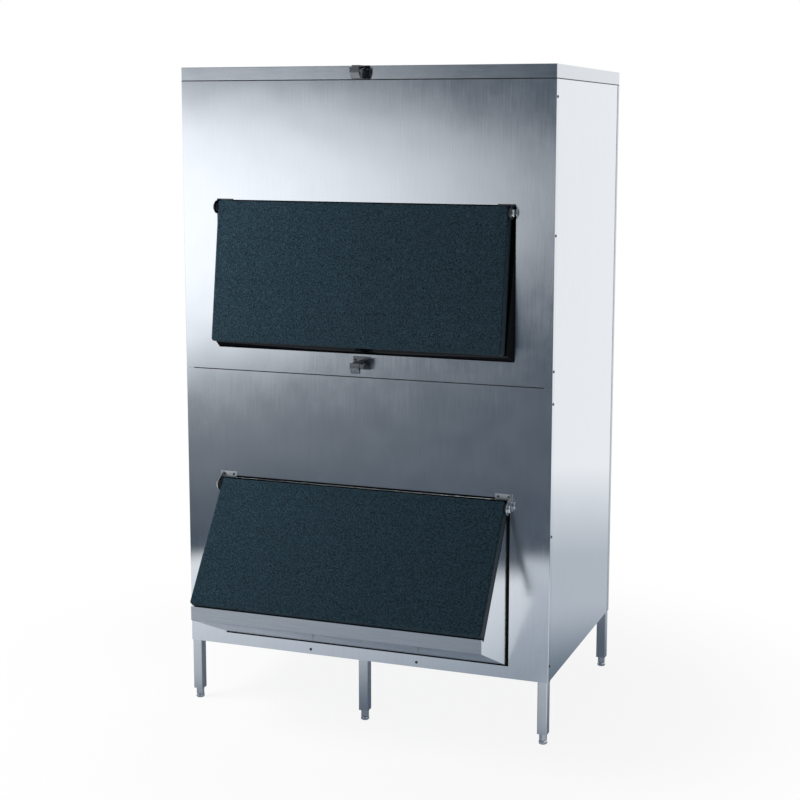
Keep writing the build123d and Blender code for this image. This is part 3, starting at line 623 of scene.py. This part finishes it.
def publish(shape: BMesh, name: str, nodes: Sequence[str], finish: Finish, body: str = "cabinet",
            smooth: float = 35.0) -> None:
    """Makes a piece of a finished shape: shaded, dressed, riding on its body, in place of CAD nodes.

    Args:
        shape: The shape in the frame's metres, which is freed.
        name: Name of the piece.
        nodes: The CAD nodes that it stands for, which are hidden.
        finish: Its finish.
        body: The body that it moves with.
        smooth: Edges that turn more than this many degrees stay sharp.
    """
    mesh = bpy.data.meshes.new(name)
    shape.to_mesh(mesh)
    shape.free()
    mesh.shade_smooth()
    mesh.set_sharp_from_angle(angle=math.radians(smooth))
    mesh.materials.append(finish.material())
    piece = added(name, mesh)
    even = piece.modifiers.new("even_shading", "WEIGHTED_NORMAL")
    even.keep_sharp = True
    even.weight = 100
    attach(piece, body)
    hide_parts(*nodes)
    log.info("made %s", name)


def rounded_piece(node: str, suffix: str, finish: Finish, width: float, where: EdgeTest | None = None,
                  body: str = "cabinet", flat: bool = True, smooth: float = 35.0,
                  **rounding: float) -> None:
    """Makes a piece of one CAD node by rounding its edges.

    Args:
        node: The CAD node.
        suffix: What the piece's name adds to the node's.
        finish: Its finish.
        width: The rounding's width, as for round_edges.
        where: Which edges are rounded, as for round_edges.
        body: The body that it moves with.
        flat: As for merged_copy.
        smooth: As for publish.
        rounding: Segments and turn, as for round_edges.
    """
    shape = merged_copy(node, flat)
    round_edges(shape, width, where, **rounding)
    publish(shape, f"{node}_{suffix}", [node], finish, body, smooth)


def sideways(place: Vector) -> Vector:
    """The direction from the bin's middle to the side on which a place lies."""
    return RIGHT * math.copysign(1, place.x)


def seat(low: Vector, high: Vector, direction: Vector, depth: float) -> Vector:
    """The point on a solid's middle line that lies a depth behind the end a direction points to."""
    reach = abs((high - low).dot(direction)) / 2
    return (low + high) / 2 + direction * (reach - depth)


@dataclass
class Fastener:
    """A turned fastener with its head along +Z and its shank below: sizes that every kind has."""

    head_radius: float
    head_height: float
    shank_radius: float
    shank_length: float

    def solid(self, head: Outline, tip: Outline, steps: int) -> BMesh:
        """The fastener turned from the outlines of its two ends.

        Args:
            head: The head from the middle out, as shares of its radius and height.
            tip: The shank's end from outside in, as (share of its radius, height above the end).
            steps: Sides of the circle.

        Returns:
            The shape, with the head's seat at height 0.
        """
        points = [(share * self.head_radius, height * self.head_height) for share, height in head]
        points.append((self.shank_radius, 0))
        points += [(share * self.shank_radius, height - self.shank_length) for share, height in tip]
        return turned(points, steps)

    def pan_head(self) -> BMesh:
        """A screw with a low domed head, a cross recess and a blunt point."""
        shape = self.solid(PAN_HEAD, ((1, 0.1 * self.shank_length), (0.7, 0), (0, 0)), steps=32)
        for ring in CROSS_RINGS:
            keyed(shape, ring * self.head_radius, sides=4, depth=CROSS_DEPTH)
        return shape

    def dome_head(self) -> BMesh:
        """A rivet with a plain round head."""
        return self.solid(DOME_HEAD, ((1, 0), (0, 0)), steps=28)

    def socket_head(self) -> BMesh:
        """A bolt with a rounded head, a six-sided socket and a chamfered end."""
        shape = self.solid(SOCKET_HEAD, ((1, 0.05 * self.shank_radius), (0.85, 0), (0, 0)), steps=36)
        keyed(shape, SOCKET_RING * self.head_radius, sides=6, depth=SOCKET_DEPTH)
        return shape


@dataclass
class Cabinet:
    """The stainless skins, the top cover, the seams and the screws down the sides."""

    fold_radius: float = 2.2 * MM
    fold_steps: int = 4
    head_radius: float = 4.5 * MM
    head_height: float = 2.2 * MM
    shank_radius: float = 2.0 * MM
    shank_length: float = 3.2 * MM

    def build(self) -> None:
        """Makes the folded skins and the screws, and dresses what stays as it is."""
        for node, finish in (
            ("upper_front_panel", FRONT_STEEL), ("lower_front_panel", FRONT_STEEL),
            ("top_cover", SHADED_LID_STEEL), ("back_panel", BACK_STEEL),
        ):
            self.skin(node, finish)
        self.screws()
        dress(SIDE_STEEL, "left_side_panel", "right_side_panel")
        dress(BACK_STEEL, "bottom_panel")
        dress(SEAL_RUBBER, "lid_gasket", "seam_seal")

    def skin(self, node: str, finish: Finish) -> None:
        """One folded skin, with a bend radius along its outer folds.

        Args:
            node: The CAD node.
            finish: Its finish.
        """
        low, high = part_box(node)
        capped = node == "top_cover"

        def on_fold(edge: BMEdge) -> bool:
            """Whether an edge is an outer fold: an upright one, or one of a cover's upper rim."""
            ends = [vert.co for vert in edge.verts]
            at_side = all(min(abs(co.x - low.x), abs(co.x - high.x)) < WELD for co in ends)
            at_end = any(all(abs(co.y - y) < WELD for co in ends) for y in (low.y, high.y))
            upright = abs(ends[0].z - ends[1].z) > self.fold_radius
            on_top = capped and all(abs(co.z - high.z) < WELD for co in ends)
            return (upright and at_side and at_end) or (on_top and (at_side or at_end))

        rounded_piece(node, "skin", finish, self.fold_radius, on_fold,
                      segments=self.fold_steps, smooth=SHEET_TURN)

    def screws(self) -> None:
        """The pan-head screws down both sides and in the strip under the hopper."""
        screw = Fastener(self.head_radius, self.head_height, self.shank_radius, self.shank_length)
        shapes = []
        for low, high in solid_boxes("panel_screws"):
            direction = OUT if high.x - low.x > high.y - low.y else sideways(low)
            place = seat(low, high, direction, self.head_height)
            shapes.append(aimed(screw.pan_head(), direction, place))
        publish(joined(shapes), "panel_screw_set", ["panel_screws"], SCREW_STEEL)


@dataclass
class DoorFrames:
    """The dark moulded frames of the two openings."""

    edge_radius: float = 1.6 * MM

    def build(self) -> None:
        """Rounds the moulding's edges."""
        for node in ("upper_door_frame", "lower_door_frame"):
            rounded_piece(node, "moulding", FRAME_PLASTIC, self.edge_radius, flat=False, segments=3)


@dataclass
class Hopper:
    """The folded hopper under the lower door: under sheet with its lip, wings, seat strip and inner floor."""

    bend_radius: float = 1.5 * MM
    shortest_bend: float = 30.0 * MM

    def build(self) -> None:
        """Gives the bends their radius and dresses the flat pieces."""
        for node, finish in (("hopper_shell", SHADED_LIP_STEEL), ("hopper_wings", HOPPER_STEEL)):
            rounded_piece(node, "sheet", finish, self.bend_radius, self.is_bend,
                          segments=3, turn=20.0, smooth=SHEET_TURN)
        dress(HOPPER_STEEL, "hopper_header", "hopper_trough")

    def is_bend(self, edge: BMEdge) -> bool:
        """Whether an edge is far longer than the sheet is thick, and lies across the hopper."""
        across = abs(edge.verts[0].co.x - edge.verts[1].co.x)
        return edge.calc_length() > self.shortest_bend and across > WELD


@dataclass
class DoorSet:
    """One top-hung door with its hinges: shell, back liner, seal, bolts, bushings and brackets."""

    name: str
    bracket_finish: Finish
    liner_border: float = 34 * MM
    liner_slope: float = 5.0 * MM
    liner_recess: float = 2.2 * MM
    seal_round: float = 1.6 * MM
    bracket_round: float = 0.5 * MM
    bolt_head_radius: float = 12.0 * MM
    bolt_head_height: float = 7.0 * MM
    bolt_radius: float = 6.0 * MM
    collar_radius: float = 13.0 * MM
    collar_ease: float = 0.6 * MM
    sleeve_radius: float = 8.0 * MM
    sleeve_length: float = 2.5 * MM
    bore_radius: float = 6.05 * MM

    def build(self) -> None:
        """Makes the door's pieces in order, from the shell to the hinges."""
        dress(DOOR_PLASTIC, f"{self.name}_door_shell")
        self.liner()
        rounded_piece(f"{self.name}_door_gasket", "bulb", SEAL_RUBBER, self.seal_round, segments=3)
        self.bolts()
        self.bushings()
        self.brackets()

    def near(self, corner: Vector) -> bool:
        """Whether a corner of a solid shared by both doors lies at this door's height."""
        low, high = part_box(f"{self.name}_door_shell")
        return low.z < corner.z < high.z + 2 * self.bolt_head_radius

    def liner(self) -> None:
        """The back plate with a shallow field inside a border."""
        node = f"{self.name}_door_liner"
        shape = merged_copy(node)
        back = max((face for face in shape.faces if face.normal.y > 0.5), key=lambda face: face.calc_area())
        outward, middle = back.normal.copy(), back.calc_center_bounds()
        reaches = []
        for direction in (RIGHT, outward.cross(RIGHT)):
            rim = max((vert.co - middle).dot(direction) for vert in back.verts) - self.liner_border
            field_edge = rim - self.liner_slope
            for reach in (rim, -rim, field_edge, -field_edge):
                bmesh.ops.bisect_plane(
                    shape, geom=shape.verts[:] + shape.edges[:] + shape.faces[:], dist=WELD,
                    plane_co=middle + direction * reach, plane_no=direction,
                )
            reaches.append((direction, field_edge + WELD))
        field_verts = [
            vert for vert in shape.verts if abs((vert.co - middle).dot(outward)) < WELD
            and all(abs((vert.co - middle).dot(direction)) < reach for direction, reach in reaches)
        ]
        bmesh.ops.translate(shape, vec=-outward * self.liner_recess, verts=field_verts)
        publish(shape, f"{node}_plate", [node], DOOR_LINER_PLASTIC, f"{self.name}_door")

    def bolts(self) -> None:
        """The two hinge bolts, with their heads outward."""
        node = f"{self.name}_hinge_bolts"
        shapes = []
        for low, high in solid_boxes(node):
            direction, rise = sideways(low), self.bolt_head_height
            bolt = Fastener(self.bolt_head_radius, rise, self.bolt_radius, high.x - low.x - rise)
            shapes.append(aimed(bolt.socket_head(), direction, seat(low, high, direction, rise)))
        publish(joined(shapes), f"{node}_turned", [node], FASTENER_STEEL, f"{self.name}_door")

    def bushings(self) -> None:
        """The two bushings: a collar against the door and a sleeve in the bracket's ear."""
        shapes = []
        wide, ease = self.collar_radius, self.collar_ease
        for low, high in solid_boxes("hinge_bushings"):
            if not self.near(low):
                continue
            direction, span = sideways(low), high.x - low.x
            collar = span - self.sleeve_length
            profile = [
                (self.bore_radius, 0), (wide - ease, 0), (wide, ease), (wide, collar - ease),
                (wide - ease, collar), (self.sleeve_radius, collar), (self.sleeve_radius, span),
                (self.bore_radius, span),
            ]
            shapes.append(aimed(turned(profile), direction, seat(low, high, direction, span)))
        publish(joined(shapes), f"{self.name}_hinge_bushing_pair", ["hinge_bushings"], BUSHING_PLASTIC)

    def brackets(self) -> None:
        """The pair of brackets with their round ears."""
        shape = merged_copy("hinge_brackets", flat=False)
        away = [verts for verts in islands(shape) if not self.near(verts[0].co)]
        bmesh.ops.delete(shape, geom=[vert for verts in away for vert in verts], context="VERTS")
        round_edges(shape, self.bracket_round, turn=60.0)
        publish(shape, f"{self.name}_hinge_bracket_pair", ["hinge_brackets"], self.bracket_finish)


@dataclass
class Catches:
    """The two sprung hooks that hold the doors open, with their rivets, and the hinge brackets' screws."""

    edge_round: float = 0.5 * MM
    bend_radius: float = 1.6 * MM
    shortest_bend: float = 20.0 * MM
    sharpest_bend: float = 100.0
    wire: float = 0.75 * MM
    coil_radius: float = 3.3 * MM
    spring_turns: int = 8
    rivet_head_radius: float = 3.6 * MM
    rivet_head_height: float = 2.2 * MM
    rivet_radius: float = 2.0 * MM

    def build(self) -> None:
        """Makes plates, hooks, springs, rivets and screws, and dresses the pins."""
        shape = merged_copy("catch_plates")
        round_edges(shape, self.edge_round, turn=60.0)
        publish(shape, "catch_plate_pair", ["catch_plates"], CATCH_STEEL)
        for name in ("upper", "lower"):
            rounded_piece(f"{name}_catch_hook", "strip", CATCH_STEEL, self.bend_radius, self.is_bend,
                          f"{name}_catch", segments=4, turn=20.0, smooth=SHEET_TURN)
        self.springs()
        self.heads("catch_rivets", "catch_rivet_set", Fastener.dome_head)
        self.heads("hinge_screws", "hinge_screw_set", Fastener.pan_head)
        dress(SCREW_STEEL, "catch_pins")

    def is_bend(self, edge: BMEdge) -> bool:
        """Whether an edge crosses the whole strip, as a bend does."""
        across = abs(edge.verts[0].co.x - edge.verts[1].co.x)
        return across > self.shortest_bend and edge.calc_face_angle() < math.radians(self.sharpest_bend)

    def springs(self) -> None:
        """The coil springs on the pins."""
        shapes = []
        for low, high in solid_boxes("catch_springs"):
            span = high.x - low.x
            spring = coil(self.coil_radius, self.wire, self.spring_turns, span - 2 * self.wire)
            shapes.append(aimed(spring, RIGHT, seat(low, high, RIGHT, span - self.wire)))
        publish(joined(shapes), "catch_spring_pair", ["catch_springs"], SCREW_STEEL)

    def heads(self, node: str, name: str, kind: Callable[[Fastener], BMesh]) -> None:
        """Small fasteners that point into the front.

        Args:
            node: The CAD node that holds them.
            name: Name of the new piece.
            kind: The fastener's way to make its shape.
        """
        rise = self.rivet_head_height
        shapes = []
        for low, high in solid_boxes(node):
            rivet = Fastener(self.rivet_head_radius, rise, self.rivet_radius, high.y - low.y - rise)
            shapes.append(aimed(kind(rivet), OUT, seat(low, high, OUT, rise)))
        publish(joined(shapes), name, [node], SCREW_STEEL)


@dataclass
class Stand:
    """The stand of square tube and its six levelling feet."""

    corner_radius: float = 3.0 * MM
    shortest_corner: float = 64.0 * MM
    base_radius: float = 13.5 * MM
    base_height: float = 12.0 * MM
    base_round: float = 4.0 * MM
    base_top_radius: float = 11.52 * MM
    neck_radius: float = 12.8 * MM
    neck_round: float = 0.8 * MM
    stem_radius: float = 6.0 * MM
    stem_length: float = 55.0 * MM
    thread_root: float = 5.16 * MM
    thread_pitch: float = 1.75 * MM
    tip_radius: float = 4.8 * MM

    def build(self) -> None:
        """Makes legs, rails and feet."""
        dress(STAND_STEEL, "base_rails")
        for node in ("front_legs", "rear_legs"):
            rounded_piece(node, "tube", STAND_STEEL, self.corner_radius, self.is_corner,
                          segments=4, smooth=SHEET_TURN)
        dress(DRAIN_PLASTIC, "leg_inserts")
        for row in ("front", "rear"):
            for side in ("left", "middle", "right"):
                self.foot(f"{row}_{side}")

    def is_corner(self, edge: BMEdge) -> bool:
        """Whether an edge runs along a tube, on its outside."""
        return edge.calc_length() > self.shortest_corner and edge.is_convex

    def foot(self, place: str) -> None:
        """One levelling foot: a domed base, a six-sided neck and a threaded stem.

        Args:
            place: Its row and side, as in the names of node and body.
        """
        node = f"{place}_foot"
        low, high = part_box(node)
        middle, top, base_top = (low + high) / 2, high.z - low.z, self.base_height
        neck_top, pitch = top - self.stem_length, self.thread_pitch
        edge = self.base_round
        flat = self.base_radius - edge
        lower = [(flat + edge * math.sin(a), edge - edge * math.cos(a)) for a in quarter(5)]
        upper = [(flat + edge * math.cos(a), base_top - edge + edge * math.sin(a)) for a in quarter(5)]
        base = turned([(0, 0), *lower, *upper, (self.base_top_radius, base_top), (0, base_top)])
        neck = bmesh.new()
        bmesh.ops.create_cone(neck, cap_ends=True, segments=6, radius1=self.neck_radius,
                              radius2=self.neck_radius, depth=neck_top - base_top)
        bmesh.ops.translate(neck, vec=UP * (neck_top + base_top) / 2, verts=neck.verts[:])
        round_edges(neck, self.neck_round)
        threads = [(0, neck_top), (self.thread_root, neck_top)]
        height = neck_top
        while height < top - 2 * pitch:
            threads += [(self.stem_radius, height + pitch / 4), (self.thread_root, height + 3 * pitch / 4)]
            height += pitch
        stem = turned([*threads, (self.tip_radius, top), (0, top)], steps=24)
        shape = aimed(joined([base, neck, stem]), UP, Vector((middle.x, middle.y, low.z)))
        publish(shape, f"{node}_turned", [node], FOOT_STEEL, f"{place}_leveller")


@dataclass
class Interior:
    """The moulded tub, the drop opening's lining, the ice gate in its channels, and the drain."""

    gate_edge: float = 2.0 * MM
    channel_edge: float = 1.0 * MM

    def build(self) -> None:
        """Eases the edges of the gate and its channels, and dresses the rest."""
        rounded_piece("ice_gate", "moulding", GATE_PLASTIC, self.gate_edge, body="gate", segments=3)
        rounded_piece("gate_channels", "moulding", LINER_PLASTIC, self.channel_edge, segments=3)
        dress(LINER_PLASTIC, "inner_liner", "top_liner", "drop_collar")
        dress(GATE_PLASTIC, "gate_handle")
        dress(DRAIN_PLASTIC, "drain_fitting", "drain_nut")
        dress(FASTENER_STEEL, "drain_strainer")
        dress(INSULATING_FOAM, "side_foam", "back_foam", "floor_foam", "front_foam", "top_foam",
              "hopper_foam", "upper_door_core", "lower_door_core")


@dataclass
class Studio:
    """White floor, soft light from the left and from above, and the camera: metres, degrees and watts."""

    floor_half: float = 6.0
    floor_shade: float = 0.92
    floor_fade: Fade = (0.7, 1.8, 0.9, 1)
    front_zone: Fade = (-0.5, -0.1, 1, 0)
    near_floor_rim: Fade = (2.18, 2.48, 0, 1)
    front_lean: Place = (-0.264, -0.16, 0)
    front_level: float = 0.36
    # Painted shadow in front of the bin, in the floor's glow seen in the steel.
    front_painted_shadow: Fade = (0.45, 0.8, 0.5, 1)
    front_right: Fade = (0.4, 0.9, 0, 0.8)
    # Painted shadow beside and behind the bin, in the floor's glow seen in the steel.
    side_painted_shadow: Fade = (0.6, 1.55, 0.13, 0.55)
    side_far: Fade = (2.2, 4.0, 0, 0.45)
    floor_blueness: float = 0.12
    ambient: float = 0.08
    dark_room: Colour = (0.072, 0.094, 0.12, 1)
    soft_box_azimuth: float = 40.0
    soft_box_half_width: float = 31.0
    soft_box_elevation: Fade = (4.0, 28.0, -2.15, -3.65)
    soft_box_half_height: Fade = (4.0, 28.0, 4.1, 7.1)
    soft_box_rim: Fade = (-0.1, 0.9, 1, 0)
    soft_box_glow: float = 1.65
    skirt_rise: Fade = (-14.5, -9.0, 0, 0.27)
    skirt_left: Fade = (16.0, 30.0, 0.05, 1)
    side_box_azimuth: float = -55.0
    side_box_fall: Fade = (0, 30.0, 0.8, 0)
    behind: Fade = (-0.25, 0.25, 0, 1)
    key_place: Place = (-1.75, -1.1, 2.05)
    key_aim: Place = (-0.3, -0.3, 1.1)
    key_size: float = 1.4
    key_power: float = 63.0
    top_place: Place = (0.0, 0.131, 3.0)
    top_size: float = 0.45
    top_spread: float = 24.0
    top_power: float = 2.2
    camera_place: Place = (1.81904, -4.75564, 1.87883)
    camera_yaw: float = 19.8503
    camera_pitch: float = 8.499
    camera_roll: float = -0.1599
    camera_lens: float = 71.1274
    camera_shift: Pair = (-0.0291, -0.045)
    camera_reach: float = 200.0

    def build(self) -> None:
        """Makes the floor, world, lamps and camera."""
        self.floor()
        self.world()
        self.lamp("key", self.key_place, self.key_aim, self.key_size, self.key_power)
        below = (*self.top_place[:2], 0.0)
        self.lamp("top", self.top_place, below, self.top_size, self.top_power, self.top_spread)
        self.camera()

    def floor(self) -> None:
        """A pale floor that keeps the shadow near the bin and is plain white further out. In the steel it shows
        instead a glow of painted light, with painted shadow near the bin.
        """
        mesh = bpy.data.meshes.new("floor")
        shape = bmesh.new()
        bmesh.ops.create_grid(shape, x_segments=8, y_segments=8, size=self.floor_half)
        shape.to_mesh(mesh)
        shape.free()
        floor = added("floor", mesh)
        material = bpy.data.materials.new("floor_white")
        material.use_nodes = True
        graph = Graph(material.node_tree)
        place = graph.node("ShaderNodeTexCoord").outputs["Object"]
        distance = graph.vector("LENGTH", place).outputs["Value"]
        far = graph.ramp(distance, *self.floor_fade, smooth=True)
        matt = graph.node("ShaderNodeBsdfDiffuse", {"Color": grey(self.floor_shade)})
        white = graph.node("ShaderNodeEmission", {"Color": WHITE, "Strength": 1.0})
        seen = graph.node("ShaderNodeMixShader", {0: far, 1: matt.outputs[0], 2: white.outputs[0]})
        ahead = graph.node("ShaderNodeSeparateXYZ", {0: place}).outputs["Y"]
        in_front = graph.ramp(ahead, *self.front_zone, smooth=True)
        past = graph.ramp(distance, *self.near_floor_rim, smooth=True)
        floor_glow_share = graph.math("SUBTRACT", 1.0, graph.math("MULTIPLY", in_front, past))
        # In reflections the floor glows with painted light and painted shadow instead of being lit.
        colour = self.mirrored_floor(graph, place, distance, in_front)
        near = graph.node("ShaderNodeEmission", {"Color": colour})
        clear = graph.node("ShaderNodeBsdfTransparent")
        mirrored = graph.node("ShaderNodeMixShader", {0: floor_glow_share, 1: clear.outputs[0], 2: near.outputs[0]})
        glossy = graph.node("ShaderNodeLightPath").outputs["Is Glossy Ray"]
        both = graph.node("ShaderNodeMixShader", {0: glossy, 1: seen.outputs[0], 2: mirrored.outputs[0]})
        graph.node("ShaderNodeOutputMaterial", {"Surface": both.outputs[0]})
        mesh.materials.append(material)

    def mirrored_floor(self, graph: Graph, place: Socket, distance: Socket, in_front: Socket) -> Socket:
        """The floor's glow in the steel, painted light: brighter to the left and on the right, darker near the
        bin as painted shadow, and bluer where it is dim.

        Args:
            graph: The floor's node tree.
            place: The place on the floor.
            distance: Distance from the middle of the floor.
            in_front: 1 in front of the bin, 0 beside and behind it.

        Returns:
            The colour's socket.
        """
        lean = graph.vector("DOT_PRODUCT", place, self.front_lean).outputs["Value"]
        slope = graph.math("ADD", lean, self.front_level)
        shaded = graph.math("MULTIPLY", slope, graph.ramp(distance, *self.front_painted_shadow))
        right = graph.node("ShaderNodeSeparateXYZ", {0: place}).outputs["X"]
        front = graph.math("ADD", shaded, graph.ramp(right, *self.front_right))
        side = graph.math("ADD", graph.ramp(distance, *self.side_painted_shadow, smooth=True),
                          graph.ramp(distance, *self.side_far))
        level = graph.node("ShaderNodeMix", {0: in_front, 2: side, 3: front}, data_type="FLOAT").outputs[0]
        channels = [graph.math("POWER", level, 1 + self.floor_blueness * step) for step in (1, 0, -1)]
        return graph.node("ShaderNodeCombineXYZ", dict(enumerate(channels))).outputs[0]

    def world(self) -> None:
        """White behind the bin, even light on it, and soft boxes beside it in its reflections."""
        world = bpy.data.worlds.new("studio")
        world.use_nodes = True
        world.cycles.sampling_method = "NONE"
        bpy.context.scene.world = world
        graph = Graph(world.node_tree)
        direction = graph.node("ShaderNodeTexCoord").outputs["Generated"]
        x, y, z = graph.node("ShaderNodeSeparateXYZ", {0: direction}).outputs
        ahead = graph.math("ARCTAN2", graph.math("MULTIPLY", x, -1.0), graph.math("MULTIPLY", y, -1.0))
        azimuth, elevation = graph.math("DEGREES", ahead), graph.math("DEGREES", graph.math("ARCSINE", z))
        level = graph.ramp(azimuth, *self.soft_box_elevation)
        height = graph.ramp(azimuth, *self.soft_box_half_height)
        shares = []
        for value, middle, half, power in (
            (azimuth, self.soft_box_azimuth, self.soft_box_half_width, 2.0), (elevation, level, height, 3.0),
        ):
            offset = graph.math("ABSOLUTE", graph.math("SUBTRACT", value, middle))
            shares.append(graph.math("POWER", graph.math("DIVIDE", offset, half), power))
        glow = graph.ramp(graph.math("ADD", *shares), *self.soft_box_rim, smooth=True)
        skirt = graph.math("MULTIPLY", graph.ramp(elevation, *self.skirt_rise),
                           graph.ramp(azimuth, *self.skirt_left))
        room = graph.blend(skirt, self.dark_room, WHITE)
        aside = graph.math("ABSOLUTE", graph.math("SUBTRACT", azimuth, self.side_box_azimuth))
        front = graph.blend(graph.ramp(aside, *self.side_box_fall, smooth=True),
                            graph.blend(glow, room, grey(self.soft_box_glow)), WHITE)
        mirrored = graph.blend(graph.ramp(y, *self.behind, smooth=True), front, WHITE)
        path = graph.node("ShaderNodeLightPath")
        unseen = graph.blend(path.outputs["Is Glossy Ray"], grey(self.ambient), mirrored)
        shown = graph.math("MAXIMUM", path.outputs["Is Camera Ray"], path.outputs["Is Transmission Ray"])
        colour = graph.blend(shown, unseen, WHITE)
        background = graph.node("ShaderNodeBackground", {"Color": colour, "Strength": 1.0})
        graph.node("ShaderNodeOutputWorld", {"Surface": background.outputs[0]})

    def lamp(self, name: str, place: Sequence[float], aim: Sequence[float], size: float, power: float,
             spread: float = 180.0) -> None:
        """A soft square lamp that the steel doesn't mirror.

        Args:
            name: Its name.
            place: Where it hangs.
            aim: The point that it faces.
            size: Its side.
            power: Its strength in watts.
            spread: How wide its beam is, in degrees.
        """
        data = bpy.data.lights.new(name, "AREA")
        data.shape = "SQUARE"
        data.size = size
        data.energy = power
        data.spread = math.radians(spread)
        lamp = added(name, data)
        lamp.location = place
        lamp.rotation_euler = (Vector(aim) - Vector(place)).to_track_quat("-Z", "Y").to_euler()
        lamp.visible_glossy = False

    def camera(self) -> None:
        """The camera at the photograph's viewing angle."""
        data = bpy.data.cameras.new("camera")
        data.lens = self.camera_lens
        data.shift_x, data.shift_y = self.camera_shift
        data.clip_end = self.camera_reach
        camera = added("camera", data)
        camera.location = self.camera_place
        yaw, pitch, roll = (math.radians(a) for a in (self.camera_yaw, self.camera_pitch, self.camera_roll))
        camera.rotation_euler = (math.pi / 2 - pitch, roll, yaw)
        bpy.context.scene.camera = camera


def main() -> None:
    """Builds the studio and every piece in order."""
    bpy.context.scene.view_settings.view_transform = "Standard"
    Studio().build()
    assemblies = [
        Cabinet(), DoorFrames(), Hopper(), DoorSet("upper", UPPER_HINGE_STEEL), DoorSet("lower", BRACKET_STEEL),
        Catches(), Stand(), Interior(),
    ]
    for assembly in assemblies:
        log.info("building %s", type(assembly).__name__)
        assembly.build()


if __name__ == "__main__":
    logging.basicConfig(level=logging.INFO, format="%(name)s: %(message)s")
    main()
